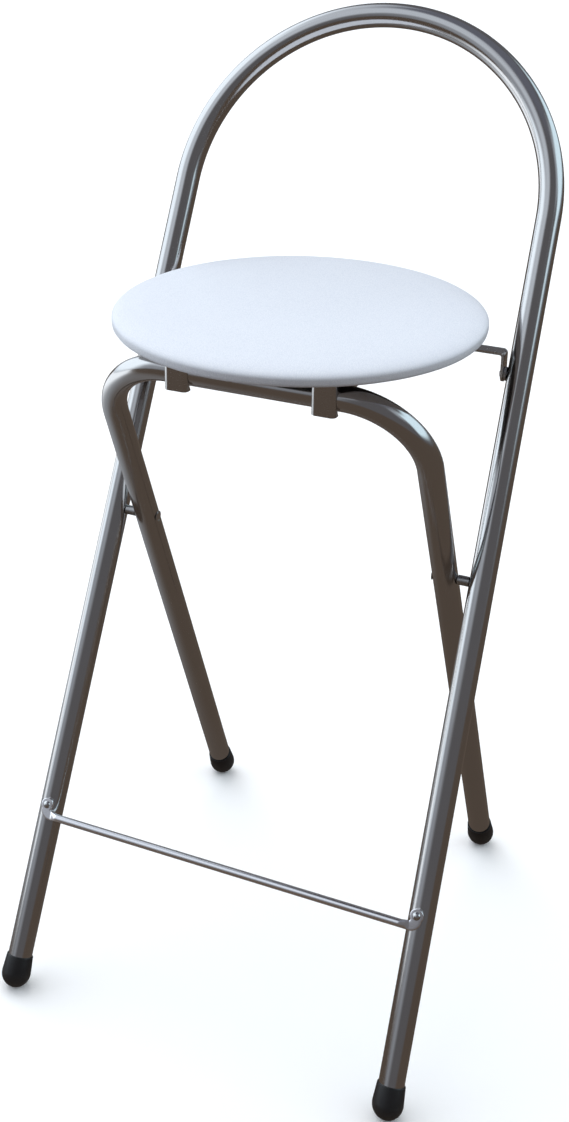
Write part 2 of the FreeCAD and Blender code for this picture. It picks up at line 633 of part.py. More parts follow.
# Screws and staples
def build_screw(x, y, under, length):
    """A pan-head screw driven upward, its head under a surface."""
    shank = cylinder(vec(x, y, under), vec(0, 0, 1), SCREW_SHANK_R, length)
    head = dome_head(vec(x, y, under - FIT), vec(0, 0, -1), SCREW_HEAD_R, SCREW_HEAD_HEIGHT)
    neck_low = under - FIT - SCREW_HEAD_HEIGHT / 2
    neck = cylinder(vec(x, y, neck_low), vec(0, 0, 1), SCREW_SHANK_R, SCREW_HEAD_HEIGHT)
    return shank.fuse(neck).fuse(head).removeSplitter()


def build_rail_screws():
    """The short screws up through the roofs of both rails into the board."""
    length = CHANNEL_SHEET + DUST_COVER + VINYL + SCREW_BITE - PROUD
    return [build_screw(side * HOOK_X, y, CHANNEL_ROOF, length) for side in (-1, 1) for y in rail_screw_ys()]


def build_hinge_bar_screws():
    """The long screws up through the hinge bar and the rails into the board."""
    length = SEAT_Z - BAR_BOTTOM + DUST_COVER + VINYL + SCREW_BITE - PROUD
    return [build_screw(side * HOOK_X, y, BAR_BOTTOM, length) for side in (-1, 1) for y in bar_screw_ys()]


def staple_angles():
    """Places of the staples round the hem, without those that the rails would cover."""
    angles = []
    for step in range(STAPLE_COUNT):
        angle = 360.0 * step / STAPLE_COUNT
        x = STAPLE_CIRCLE_R * sine(angle)
        if abs(abs(x) - HOOK_X) > STAPLE_CLEAR_OF_RAILS / 2 + STAPLE_WIRE:
            angles.append(angle)
    return angles


def staple_box(angle, low, high, out, play):
    """One upright leg of a staple, or its slot where play is more than nothing."""
    half = STAPLE_WIRE / 2 + play
    leg = Part.makeBox(2 * half, 2 * half, high - low, vec(out - half, STAPLE_CIRCLE_R - half, low))
    leg.rotate(vec(0, 0, 0), vec(0, 0, 1), -angle)
    leg.translate(vec(0, SEAT_Y, 0))
    return leg


def build_staple(angle):
    """One staple: a crown wire against the cloth and two legs up into the board."""
    reach = STAPLE_WIDTH / 2 - STAPLE_WIRE / 2
    low = SEAT_Z - FIT - STAPLE_WIRE
    corner = vec(-STAPLE_WIDTH / 2, STAPLE_CIRCLE_R - STAPLE_WIRE / 2, low)
    crown = Part.makeBox(STAPLE_WIDTH, STAPLE_WIRE, STAPLE_WIRE, corner)
    crown.rotate(vec(0, 0, 0), vec(0, 0, 1), -angle)
    crown.translate(vec(0, SEAT_Y, 0))
    top = SEAT_Z + STAPLE_LEG
    legs = [staple_box(angle, low, top, out, 0) for out in (-reach, reach)]
    return crown.fuse(legs).removeSplitter()


def build_cover_staples():
    """All the staples that hold the vinyl hem and the cloth to the board."""
    return [build_staple(angle) for angle in staple_angles()]


def cut_staple_slots(body, through):
    """Cut the slots of all staple legs, through a sheet or up into the board."""
    reach = STAPLE_WIDTH / 2 - STAPLE_WIRE / 2
    top = SEAT_Z + STAPLE_LEG + FIT
    if through:
        top = BOARD_BOTTOM
    slots = []
    for angle in staple_angles():
        for out in (-reach, reach):
            slots.append(staple_box(angle, SEAT_Z - PROUD, top, out, FIT))
    return body.cut(slots)


# All nodes
def build_all():
    """Every node of the stool, by name."""
    nodes = {
        "hoop_frame": build_hoop_frame(),
        "rear_leg_frame": build_rear_leg_frame(),
        "foot_rail": build_foot_rail(),
        "seat_hinge_bar": build_seat_hinge_bar(),
        "seat_board": build_seat_board(),
        "seat_foam": build_seat_foam(),
        "seat_cover": build_seat_cover(),
        "dust_cover": build_dust_cover(),
        "rail_screws": Part.makeCompound(build_rail_screws()),
        "hinge_bar_screws": Part.makeCompound(build_hinge_bar_screws()),
        "cover_staples": Part.makeCompound(build_cover_staples()),
    }
    nodes.update(build_foot_caps())
    for name, side in (("left", -1), ("right", 1)):
        nodes["pivot_rivet_" + name], nodes["pivot_spacer_" + name] = build_pivot(side)
        nodes["hinge_rivet_" + name], nodes["hinge_washer_" + name] = build_seat_hinge(side)
        nodes["rail_rivet_" + name] = build_rail_rivet(side)
        nodes["seat_rail_" + name] = build_seat_rail(side)
    return nodes


def main():
    """Build every node and write its STEP file."""
    os.makedirs("parts", exist_ok=True)
    for name, shape in build_all().items():
        shape.exportStep("parts/" + name + ".step")
        print(name, shape.ShapeType, shape.isValid(), round(shape.Volume), len(shape.Faces))
    print("pivot axis at", PIVOT_Y, PIVOT_Z)
    print("seat hinge axis at", HINGE_Y, HINGE_Z)


main()
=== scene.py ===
"""Folding bar stool: dressed model, studio and camera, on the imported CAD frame.

Everything is in metres in the frame's axes: +Z up, -Y the stool's front, the floor at Z = 0.
"""

import logging
import math
from collections.abc import Callable
from dataclasses import dataclass, field
from enum import Enum
from functools import cache

import bpy
import numpy as np
from mathutils import Matrix, Vector

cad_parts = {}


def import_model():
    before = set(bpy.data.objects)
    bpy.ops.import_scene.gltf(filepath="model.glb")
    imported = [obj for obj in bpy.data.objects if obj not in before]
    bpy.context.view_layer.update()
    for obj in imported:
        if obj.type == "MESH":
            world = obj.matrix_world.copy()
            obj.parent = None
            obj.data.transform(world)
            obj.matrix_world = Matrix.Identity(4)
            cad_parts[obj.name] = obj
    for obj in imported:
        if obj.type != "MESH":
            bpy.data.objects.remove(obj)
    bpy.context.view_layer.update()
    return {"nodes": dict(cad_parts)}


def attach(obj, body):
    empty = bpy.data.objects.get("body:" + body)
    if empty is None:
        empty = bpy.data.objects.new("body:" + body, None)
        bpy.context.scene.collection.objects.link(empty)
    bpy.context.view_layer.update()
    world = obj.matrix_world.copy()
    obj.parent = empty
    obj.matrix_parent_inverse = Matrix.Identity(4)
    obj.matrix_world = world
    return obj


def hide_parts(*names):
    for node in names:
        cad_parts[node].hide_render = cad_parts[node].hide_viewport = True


log = logging.getLogger("bar_stool")
Array = np.ndarray
Colour = tuple[float, float, float]
Socket = bpy.types.NodeSocket
Value = Socket | float
WHITE: Colour = (1.0, 1.0, 1.0)


def sine(angle: float) -> float:
    """Sine of an angle in degrees."""
    return math.sin(math.radians(angle))


def cosine(angle: float) -> float:
    """Cosine of an angle in degrees."""
    return math.cos(math.radians(angle))


def tangent(angle: float) -> float:
    """Tangent of an angle in degrees."""
    return math.tan(math.radians(angle))


class Side(Enum):
    """The stool's two sides, as the sign of X."""

    LEFT = -1
    RIGHT = 1

    @property
    def word(self) -> str:
        """The side's name, as node names end."""
        return self.name.lower()


@dataclass(frozen=True)
class Plan:
    """The stool's driving sizes, in metres and degrees, and the places that follow from them."""

    tube_r: float = 0.0127
    tube_wall: float = 0.0012
    hoop_lean: float = 27.8
    hoop_splay: float = 0.52
    hoop_foot_half: float = 0.2077
    hoop_centre_along: float = 0.882
    rear_lean: float = 24.3
    rear_splay: float = 0.68
    rear_bar_along: float = 0.733
    rear_corner_r: float = 0.076
    rail_along: float = 0.186
    foot_spread: float = 0.4475
    cap_bulge_r: float = 0.0153
    cap_axis_up: float = 0.0145
    cap_bore_start: float = 0.0009
    leg_gap: float = 0.01176
    seat_setback_share: float = 0.5578
    seat_over_bar: float = 0.01694
    bar_drop: float = 0.0198
    ear_reach: float = 0.0237
    ear_gap: float = 0.00292
    ear_thick: float = 0.0025

    @property
    def hoop_r(self) -> float:
        """Radius of the hoop's centre line."""
        return self.hoop_foot_half * cosine(self.hoop_splay) - self.hoop_centre_along * sine(self.hoop_splay)

    @property
    def hoop_foot_y(self) -> float:
        """Where the front legs' axes meet the floor, front to back."""
        front = self.cap_bulge_r - self.cap_axis_up * tangent(self.hoop_lean)
        back = (self.hoop_centre_along + self.hoop_r) * sine(self.hoop_lean) + self.tube_r
        return (front - back) / 2

    @property
    def rear_foot_y(self) -> float:
        """Where the rear legs' axes meet the floor, front to back."""
        return self.hoop_foot_y + self.foot_spread

    @property
    def pivot_z(self) -> float:
        """Height of the leg pivot."""
        return self.foot_spread / (tangent(self.hoop_lean) + tangent(self.rear_lean))

    @property
    def pivot_y(self) -> float:
        """The leg pivot, front to back."""
        return self.hoop_foot_y + self.pivot_z * tangent(self.hoop_lean)

    @property
    def bar_y(self) -> float:
        """The rear frame's crossbar, front to back."""
        return self.rear_foot_y - self.rear_bar_along * sine(self.rear_lean)

    @property
    def seat_z(self) -> float:
        """Height of the seat's underside."""
        return self.rear_bar_along * cosine(self.rear_lean) + self.seat_over_bar

    @property
    def hinge_z(self) -> float:
        """Height of the seat hinge."""
        return self.seat_z - self.bar_drop - self.ear_reach

    @property
    def hinge_y(self) -> float:
        """The seat hinge, front to back."""
        return self.hoop_foot_y + self.hinge_z * tangent(self.hoop_lean)

    @property
    def seat_y(self) -> float:
        """The seat's middle, front to back, at a share of the way from the crossbar to the hinge."""
        return self.bar_y + (self.hinge_y - self.bar_y) * self.seat_setback_share

    @property
    def hinge_axis_half(self) -> float:
        """Half the distance between the front legs' axes at the seat hinge."""
        return self.hoop_half(self.hinge_z / cosine(self.hoop_lean))

    @property
    def pivot_axis_half(self) -> float:
        """Half the distance between the front legs' axes at the leg pivot."""
        return self.hoop_half(self.pivot_z / cosine(self.hoop_lean))

    @property
    def rear_pivot_half(self) -> float:
        """Half the distance between the rear legs' axes at the leg pivot."""
        return self.pivot_axis_half - 2 * self.tube_r - self.leg_gap

    @property
    def ear_outer_x(self) -> float:
        """The outer face of the hinge bar's ears."""
        return self.hinge_axis_half - self.tube_r - self.ear_gap

    @property
    def rear_foot_half(self) -> float:
        """Half the distance between the rear legs' axes at the floor."""
        along = self.pivot_z / cosine(self.rear_lean)
        return self.rear_pivot_half + along * tangent(self.rear_splay)

    def hoop_half(self, along: Array | float) -> Array | float:
        """Half the distance between the front legs' axes, at a distance up their plane."""
        return self.hoop_foot_half - along * tangent(self.hoop_splay)

    def rear_half(self, along: Array | float) -> Array | float:
        """Half the distance between the rear legs' axes, at a distance up their plane."""
        return self.rear_foot_half - along * tangent(self.rear_splay)

    def on_hoop(self, x: Array | float, along: Array | float, forward: Array | float = 0.0) -> Array:
        """Points in the hoop frame's leaning plane.

        Args:
            x: Across the stool.
            along: Distance up the plane from the floor.
            forward: Distance in front of the plane.

        Returns:
            The points, one row each: y = foot + along sin(lean) - forward cos(lean), z the other way about.
        """
        x, along, forward = np.broadcast_arrays(x, along, forward)
        y = self.hoop_foot_y + along * sine(self.hoop_lean) - forward * cosine(self.hoop_lean)
        z = along * cosine(self.hoop_lean) + forward * sine(self.hoop_lean)
        return np.stack([x, y, z], -1).astype(float)

    def on_rear(self, x: Array | float, along: Array | float) -> Array:
        """Points in the rear frame's leaning plane.

        Args:
            x: Across the stool.
            along: Distance up the plane from the floor.

        Returns:
            The points, one row each: y = foot - along sin(lean), z = along cos(lean).
        """
        x, along = np.broadcast_arrays(x, along)
        y = self.rear_foot_y - along * sine(self.rear_lean)
        return np.stack([x, y, along * cosine(self.rear_lean)], -1).astype(float)

    def tube_end(self, lean: float) -> float:
        """Where a leg tube ends inside its foot cap, along its leaning plane."""
        return self.cap_axis_up / cosine(lean) + self.cap_bore_start


def unit(v: Array) -> Array:
    """Vectors scaled to length one, along the last axis."""
    return v / np.linalg.norm(v, axis=-1, keepdims=True)


def smoothstep(x: Array) -> Array:
    """Zero below 0, one above 1, and 3 x^2 - 2 x^3 between."""
    x = np.clip(x, 0, 1)
    return x * x * (3 - 2 * x)


def bezier(poles: list[tuple[float, float]], count: int) -> Array:
    """Points on a cubic Bezier curve in a plane.

    Args:
        poles: The four control points.
        count: How many points.

    Returns:
        Rows (1-t)^3 P0 + 3(1-t)^2 t P1 + 3(1-t) t^2 P2 + t^3 P3 for even steps of t from 0 to 1.
    """
    t = np.linspace(0, 1, count)[:, None]
    p = np.array(poles, float)
    return (1 - t) ** 3 * p[0] + 3 * (1 - t) ** 2 * t * p[1] + 3 * (1 - t) * t**2 * p[2] + t**3 * p[3]


def arc(centre: tuple[float, float], radius: float, start: float, stop: float, count: int) -> Array:
    """Points on a circle in a plane, centre + radius (cos a, sin a), with a in degrees."""
    a = np.radians(np.linspace(start, stop, count))
    return np.array(centre) + radius * np.stack([np.cos(a), np.sin(a)], -1)


def grid_object(name: str, rings: Array, poles: tuple[Array, Array], sharp: float = 40.0) -> bpy.types.Object:
    """A closed surface from rings of points, joined ring to ring, each end closed by a fan.

    Args:
        name: The object's name.
        rings: Points as rings x around x 3, each ring closed on itself.
        poles: The middle points of the first and the last fan.
        sharp: Angle in degrees past which an edge shades sharp.

    Returns:
        The object, linked to the scene, with its place in its mesh.
    """
    count, around = rings.shape[:2]
    j = np.arange(around)
    following = np.roll(j, -1)
    i = np.arange(count - 1)[:, None] * around
    quads = np.stack([i + j, i + following, i + around + following, i + around + j], -1).reshape(-1, 4)
    first, end = count * around, (count - 1) * around
    near = np.stack([np.full(around, first), following, j], -1)
    far = np.stack([np.full(around, first + 1), end + j, end + following], -1)
    points = np.vstack([rings.reshape(-1, 3), poles[0], poles[1]])
    mesh = bpy.data.meshes.new(name)
    mesh.from_pydata(points.tolist(), [], quads.tolist() + near.tolist() + far.tolist())
    mesh.update()
    if signed_volume(mesh) < 0:
        mesh.flip_normals()
    mesh.polygons.foreach_set("use_smooth", [True] * len(mesh.polygons))
    mesh.set_sharp_from_angle(angle=math.radians(sharp))
    obj = bpy.data.objects.new(name, mesh)
    bpy.context.scene.collection.objects.link(obj)
    return obj


def points_of(mesh: bpy.types.Mesh) -> Array:
    """A mesh's points, one row each."""
    co = np.zeros(len(mesh.vertices) * 3)
    mesh.vertices.foreach_get("co", co)
    return co.reshape(-1, 3)


def set_points(mesh: bpy.types.Mesh, co: Array) -> None:
    """Move a mesh's points to new places, one row each."""
    mesh.vertices.foreach_set("co", co.ravel())
    mesh.update()


def signed_volume(mesh: bpy.types.Mesh) -> float:
    """The sum of a . (b x c) / 6 over a closed mesh's triangles: positive when its faces point outwards."""
    mesh.calc_loop_triangles()
    corner = np.zeros(len(mesh.loop_triangles) * 3, np.int32)
    mesh.loop_triangles.foreach_get("vertices", corner)
    a, b, c = np.moveaxis(points_of(mesh)[corner.reshape(-1, 3)], 1, 0)
    return float(np.sum(a * np.cross(b, c)) / 6)


def sweep(name: str, path: Array, normal: Array, radii: Array, around: int = 64) -> bpy.types.Object:
    """A round bar of changing radius along a flat path.

    Point (i, j) is path_i + r_i (cos a_j N_i + sin a_j B), where B is the path plane's normal and
    N_i is B crossed with the path's direction.

    Args:
        name: The object's name.
        path: Centre points, one row each; a point may repeat where only the radius changes.
        normal: The path plane's normal.
        radii: The radius at each point.
        around: Points round the bar.

    Returns:
        The closed bar.
    """
    steps = np.diff(path, axis=0)
    length = np.linalg.norm(steps, axis=1)
    keep = length > 1e-9
    index = np.maximum.accumulate(np.where(keep, np.arange(len(steps)), -1))
    index = np.where(index < 0, np.argmax(keep), index)
    before = unit(steps[index])
    heading = unit(np.vstack([before[:1], before[:-1] + before[1:], before[-1:]]))
    b = unit(np.asarray(normal, float))
    n = unit(np.cross(b, heading))
    a = np.linspace(0, 2 * np.pi, around, endpoint=False)
    ring = np.cos(a)[None, :, None] * n[:, None, :] + np.sin(a)[None, :, None] * b[None, None, :]
    return grid_object(name, path[:, None, :] + radii[:, None, None] * ring, (path[0], path[-1]))


def lathe(
    name: str, profile: Array, origin: Array, axis: Array, around: int = 64, sharp: float = 40.0
) -> bpy.types.Object:
    """A surface of revolution.

    Point (i, j) is origin + h_i A + r_i (cos a_j U + sin a_j V), with U and V square to the axis A.

    Args:
        name: The object's name.
        profile: Rows of radius and height along the axis; the first and last are on the axis.
        origin: Where the axis starts.
        axis: The axis direction.
        around: Points round the axis.
        sharp: Angle in degrees past which an edge shades sharp.

    Returns:
        The closed object.
    """
    a_dir = unit(np.asarray(axis, float))
    helper = np.array([1.0, 0, 0]) if abs(a_dir[0]) < 0.9 else np.array([0, 1.0, 0])
    u = unit(np.cross(a_dir, helper))
    v = np.cross(a_dir, u)
    a = np.linspace(0, 2 * np.pi, around, endpoint=False)
    ring = np.cos(a)[:, None] * u + np.sin(a)[:, None] * v
    r, h = profile[1:-1, 0], profile[1:-1, 1]
    rings = origin + h[:, None, None] * a_dir + r[:, None, None] * ring[None]
    poles = (origin + profile[0, 1] * a_dir, origin + profile[-1, 1] * a_dir)
    return grid_object(name, rings, poles, sharp)


class Tree:
    """A node tree under construction, with short ways to add the nodes that the finishes share."""

    def __init__(self, tree: bpy.types.NodeTree) -> None:
        """Work on a node tree."""
        self.tree = tree

    def fill(self, socket: Socket, value: object) -> None:
        """Link a socket, or set its value; a colour of three numbers gets its fourth, 1."""
        if isinstance(value, bpy.types.NodeSocket):
            self.tree.links.new(value, socket)
        else:
            socket.default_value = (*value, 1.0) if socket.type == "RGBA" else value

    def node(self, kind: str, **values: object) -> bpy.types.Node:
        """Add a node and fill its sockets and settings.

        Args:
            kind: The node's type, without its leading ShaderNode.
            values: By name: a socket to link, or a value for an input socket or a setting. A name such as
                in0 means the input with that number.

        Returns:
            The node.
        """
        node = self.tree.nodes.new("ShaderNode" + kind)
        settings = {name: value for name, value in values.items() if hasattr(node, name)}
        for name, value in settings.items():
            setattr(node, name, value)
        for name, value in values.items():
            if name not in settings:
                numbered = name.startswith("in") and name[2:].isdigit()
                key = int(name[2:]) if numbered else name.replace("_", " ")
                self.fill(node.inputs[key], value)
        return node

    def calc(self, operation: str, *values: Value) -> Socket:
        """The result of a Math node."""
        inputs = {f"in{i}": value for i, value in enumerate(values)}
        return self.node("Math", operation=operation, **inputs).outputs[0]

    def scaled(self, vector: Socket | Colour, factor: Value) -> Socket:
        """A vector or colour times a value."""
        return self.node("VectorMath", operation="SCALE", in0=vector, Scale=factor).outputs[0]

    def noise(self, place: Socket, scale: Value, detail: float, rough: float = 0.5) -> dict[str, Socket]:
        """Noise at a place, as a value Fac and a colour Color."""
        return self.node("TexNoise", Vector=place, Scale=scale, Detail=detail, Roughness=rough).outputs

    def smooth(self, value: Socket, start: Value, stop: Value) -> Socket:
        """A smooth step of a value, from 0 at start to 1 at stop."""
        node = self.node("MapRange", interpolation_type="SMOOTHSTEP", Value=value, in1=start, in2=stop)
        return node.outputs[0]

    def ramp(self, value: Socket, start: Value, stop: Value, first: float, last: float) -> Socket:
        """A straight ramp of a value, from first at start to last at stop, and level past them."""
        return self.node("MapRange", Value=value, in1=start, in2=stop, in3=first, in4=last).outputs[0]

    def mixed(self, mask: Socket, first: Socket | Colour, second: Socket | Colour) -> Socket:
        """One colour going over to another where the mask is 1."""
        return self.node("Mix", data_type="RGBA", in0=mask, in6=first, in7=second).outputs[2]


class GroupMaker(Tree):
    """One shader node group with named inputs and outputs."""

    def __init__(self, name: str, inputs: dict[str, float | None], *outputs: str) -> None:
        """Start a group.

        Args:
            name: The group's name.
            inputs: Socket names with their default value, or None for a vector.
            outputs: Names of the values that it puts out.
        """
        super().__init__(bpy.data.node_groups.new(name, "ShaderNodeTree"))
        for label, value in inputs.items():
            kind = "NodeSocketVector" if value is None else "NodeSocketFloat"
            socket = self.tree.interface.new_socket(label, in_out="INPUT", socket_type=kind)
            if value is not None:
                socket.default_value = value
        for label in outputs:
            self.tree.interface.new_socket(label, in_out="OUTPUT", socket_type="NodeSocketFloat")
        self.given = self.tree.nodes.new("NodeGroupInput").outputs
        self.outlet = self.tree.nodes.new("NodeGroupOutput")

    def give(self, **sockets: Socket) -> bpy.types.NodeTree:
        """Connect sockets to the outputs of the same names, and return the finished group."""
        for label, socket in sockets.items():
            self.tree.links.new(socket, self.outlet.inputs[label])
        return self.tree


@cache
def mottle_group() -> bpy.types.NodeTree:
    """Slow uneven tone, as plating, cloth and plastic have: value = 1 + amount (noise - 1/2)."""
    g = GroupMaker("slow mottle", {"Vector": None, "Scale": 20.0, "Amount": 0.1}, "Tone")
    centred = g.calc("SUBTRACT", g.noise(g.given["Vector"], g.given["Scale"], 4.0)["Fac"], 0.5)
    return g.give(Tone=g.calc("ADD", g.calc("MULTIPLY", centred, g.given["Amount"]), 1.0))


@cache
def scratch_group() -> bpy.types.NodeTree:
    """Fine rubbed lines: noise stretched along one axis and cut off high, so that few lines stay."""
    g = GroupMaker("rubbed lines", {"Vector": None, "Stretch": None, "Cut": 0.62}, "Mask")
    mapped = g.node("Mapping", Vector=g.given["Vector"], Scale=g.given["Stretch"]).outputs[0]
    cut = g.given["Cut"]
    return g.give(Mask=g.ramp(g.noise(mapped, 1.0, 5.0, 0.7)["Fac"], cut, g.calc("ADD", cut, 0.08), 0.0, 1.0))


@cache
def pebble_group() -> bpy.types.NodeTree:
    """Leather-like pebbles: cell distance with soft edges, broken up by a finer noise."""
    g = GroupMaker("pebble grain", {"Vector": None, "Scale": 700.0, "Fine": 0.3}, "Height", "Valley")
    place = g.given["Vector"]
    warp = g.scaled(g.noise(place, 260.0, 2.0)["Color"], 0.0012)
    bent = g.node("VectorMath", operation="ADD", in0=place, in1=warp).outputs[0]
    cells = g.node("TexVoronoi", feature="DISTANCE_TO_EDGE", Vector=bent, Scale=g.given["Scale"])
    raised = g.smooth(cells.outputs["Distance"], 0.0, 0.28)
    grit = g.calc("MULTIPLY", g.noise(place, 2600.0, 3.0)["Fac"], g.given["Fine"])
    return g.give(Height=g.calc("ADD", raised, grit), Valley=g.calc("SUBTRACT", 1.0, raised))


@cache
def low_dust_group() -> bpy.types.NodeTree:
    """Dust and scuffs that fade out with height above the floor, broken up by noise."""
    g = GroupMaker("low dust", {"Vector": None, "Top": 0.03, "Amount": 0.5}, "Mask")
    place = g.given["Vector"]
    height = g.node("SeparateXYZ", Vector=place).outputs["Z"]
    fade = g.ramp(height, 0.0, g.given["Top"], 1.0, 0.0)
    broken = g.calc("MULTIPLY", fade, g.noise(place, 180.0, 6.0)["Fac"])
    return g.give(Mask=g.calc("MULTIPLY", broken, g.given["Amount"]))


class Paint(Tree):
    """One material under construction: its tree, its Principled shader and its Object coordinates."""

    def __init__(self, name: str) -> None:
        """Start a material with a Principled shader."""
        self.material = bpy.data.materials.new(name)
        self.material.use_nodes = True
        super().__init__(self.material.node_tree)
        self.shader = self.tree.nodes["Principled BSDF"]
        self.place = self.node("TexCoord").outputs["Object"]

    def group(self, tree: bpy.types.NodeTree, **values: object) -> dict[str, Socket]:
        """Place a shared group on the Object coordinates with its own values, and give its outputs."""
        return self.node("Group", node_tree=tree, Vector=self.place, **values).outputs

    def set(self, **values: object) -> None:
        """Set or link inputs of the Principled shader."""
        for name, value in values.items():
            self.fill(self.shader.inputs[name.replace("_", " ")], value)

    def bump(self, height: Socket, strength: float, distance: float) -> None:
        """Raise the surface by a height value."""
        self.set(Normal=self.node("Bump", Height=height, Strength=strength, Distance=distance).outputs[0])


@dataclass(frozen=True)
class PlatedSteel:
    """Chrome-plated steel, slightly uneven and lightly rubbed."""

    name: str
    colour: Colour = (0.56, 0.55, 0.545)
    gloss: float = 0.14
    rub: float = 0.10
    stretch: tuple[float, float, float] = (900.0, 900.0, 60.0)

    def build(self) -> bpy.types.Material:
        """Build the material."""
        p = Paint(self.name)
        tone = p.group(mottle_group(), Scale=14.0, Amount=0.10)[0]
        lines = p.group(scratch_group(), Stretch=self.stretch, Cut=0.6)[0]
        rough = p.calc("MULTIPLY", p.calc("MULTIPLY_ADD", lines, self.rub, self.gloss), tone)
        p.set(Base_Color=p.scaled(self.colour, tone), Metallic=1.0, Roughness=rough)
        p.bump(lines, 0.05, 0.00005)
        return p.material


@dataclass(frozen=True)
class SeatVinyl:
    """White vinyl with a fine leather grain and a cool cast, its colour darker in the grain's valleys as
    painted shade.
    """

    name: str
    colour: Colour = (0.81, 0.843, 0.905)
    valley: Colour = (0.71, 0.75, 0.825)

    def build(self) -> bpy.types.Material:
        """Build the material."""
        p = Paint(self.name)
        tone = p.group(mottle_group(), Scale=9.0, Amount=0.05)[0]
        grain = p.group(pebble_group(), Scale=620.0, Fine=0.25)
        rough = p.calc("MULTIPLY_ADD", grain["Valley"], 0.18, 0.40)
        # Painted shade: the colour goes darker in the grain's valleys.
        p.set(Base_Color=p.scaled(p.mixed(grain["Valley"], self.colour, self.valley), tone), Roughness=rough)
        p.set(Coat_Weight=0.08, Coat_Roughness=0.25)
        p.bump(grain["Height"], 0.35, 0.00012)
        return p.material


@dataclass(frozen=True)
class MouldedPlastic:
    """Black moulded plastic with a fine texture and floor dust at the foot."""

    name: str
    colour: Colour = (0.012, 0.012, 0.013)
    dust: Colour = (0.16, 0.15, 0.14)

    def build(self) -> bpy.types.Material:
        """Build the material."""
        p = Paint(self.name)
        grain = p.group(pebble_group(), Scale=1500.0, Fine=0.5)
        dust = p.group(low_dust_group(), Top=0.022, Amount=0.5)[0]
        tone = p.group(mottle_group(), Scale=60.0, Amount=0.4)[0]
        rough = p.calc("MULTIPLY_ADD", dust, 0.4, 0.42)
        p.set(Base_Color=p.mixed(dust, p.scaled(self.colour, tone), self.dust), Roughness=rough)
        p.bump(grain["Height"], 0.25, 0.00008)
        return p.material


@dataclass(frozen=True)
class TurnedSteel:
    """Plain turned or zinc-plated steel with fine tool lines."""

    name: str
    colour: Colour = (0.42, 0.415, 0.41)
    stretch: tuple[float, float, float] = (1800.0, 200.0, 200.0)

    def build(self) -> bpy.types.Material:
        """Build the material."""
        p = Paint(self.name)
        tone = p.group(mottle_group(), Scale=120.0, Amount=0.25)[0]
        lines = p.group(scratch_group(), Stretch=self.stretch, Cut=0.5)[0]
        rough = p.calc("MULTIPLY_ADD", lines, 0.15, 0.27)
        p.set(Base_Color=p.scaled(self.colour, tone), Metallic=1.0, Roughness=rough)
        p.bump(lines, 0.15, 0.00005)
        return p.material


@dataclass(frozen=True)
class PressedCloth:
    """Black non-woven cloth: pressed fibres in all directions."""

    name: str
    colour: Colour = (0.014, 0.014, 0.015)
    fibre: Colour = (0.05, 0.05, 0.052)

    def build(self) -> bpy.types.Material:
        """Build the material."""
        p = Paint(self.name)
        across = p.group(scratch_group(), Stretch=(2600.0, 300.0, 300.0), Cut=0.5)[0]
        along = p.group(scratch_group(), Stretch=(300.0, 2600.0, 300.0), Cut=0.5)[0]
        fibres = p.calc("MAXIMUM", across, along)
        p.set(Base_Color=p.mixed(fibres, self.colour, self.fibre), Roughness=0.9, Sheen_Weight=0.2)
        p.bump(fibres, 0.5, 0.0001)
        return p.material


@dataclass(frozen=True)
class Plywood:
    """Raw plywood: long grain on the face and layers at the edge."""

    name: str
    colour: Colour = (0.55, 0.40, 0.24)
    dark: Colour = (0.36, 0.23, 0.12)

    def build(self) -> bpy.types.Material:
        """Build the material."""
        p = Paint(self.name)
        grain = p.group(scratch_group(), Stretch=(30.0, 400.0, 1600.0), Cut=0.42)[0]
        tone = p.group(mottle_group(), Scale=25.0, Amount=0.2)[0]
        p.set(Base_Color=p.scaled(p.mixed(grain, self.colour, self.dark), tone), Roughness=0.75)
        p.bump(grain, 0.3, 0.0002)
        return p.material


# The rod's chrome is set far lighter than the tubes' chrome: painted light, standing in for the bright
# reflections along the rod.
CHROME_ROD = PlatedSteel("chrome rod", colour=(0.92, 0.91, 0.93), gloss=0.2, rub=0.05)
POLISHED_RIVET = PlatedSteel("polished rivet", colour=(0.62, 0.62, 0.62), gloss=0.10, rub=0.08)
PLATED_SHEET = PlatedSteel("plated sheet", gloss=0.2, rub=0.12, stretch=(300.0, 60.0, 900.0))
ZINC_PLATE = TurnedSteel("zinc plate", colour=(0.5, 0.5, 0.49))


@dataclass
class Finishes:
    """Every finish of the stool, built once."""

    tube: bpy.types.Material = field(default_factory=PlatedSteel("chrome tube").build)
    rod: bpy.types.Material = field(default_factory=CHROME_ROD.build)
    rivet: bpy.types.Material = field(default_factory=POLISHED_RIVET.build)
    sheet: bpy.types.Material = field(default_factory=PLATED_SHEET.build)
    steel: bpy.types.Material = field(default_factory=TurnedSteel("turned steel").build)
    zinc: bpy.types.Material = field(default_factory=ZINC_PLATE.build)
    plastic: bpy.types.Material = field(default_factory=MouldedPlastic("black moulded plastic").build)
    vinyl: bpy.types.Material = field(default_factory=SeatVinyl("white grained vinyl").build)
    cloth: bpy.types.Material = field(default_factory=PressedCloth("black pressed cloth").build)
    wood: bpy.types.Material = field(default_factory=Plywood("raw plywood").build)


def dress(obj: bpy.types.Object, material: bpy.types.Material) -> bpy.types.Object:
    """Give an object one material and return it."""
    if obj.data.materials:
        obj.data.materials[0] = material
    else:
        obj.data.materials.append(material)
    return obj


@dataclass
class SubAssembly:
    """What the stool's sub-assemblies share: the plan, the finishes and the way pieces are added."""

    plan: Plan
    finishes: Finishes
    body: str = ""

    def add(self, piece: bpy.types.Object, material: bpy.types.Material, slot: str, *nodes: str) -> None:
        """Dress a new piece, put it on this body, and let it stand for CAD nodes.

        Args:
            piece: The new piece.
            material: Its finish.
            slot: The record's material slot; not used.
            nodes: The CAD nodes that it replaces.
        """
        dress(piece, material)
        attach(piece, self.body)
        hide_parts(*nodes)
        log.info("%s: %d faces, for %s", piece.name, len(piece.data.polygons), ", ".join(nodes))


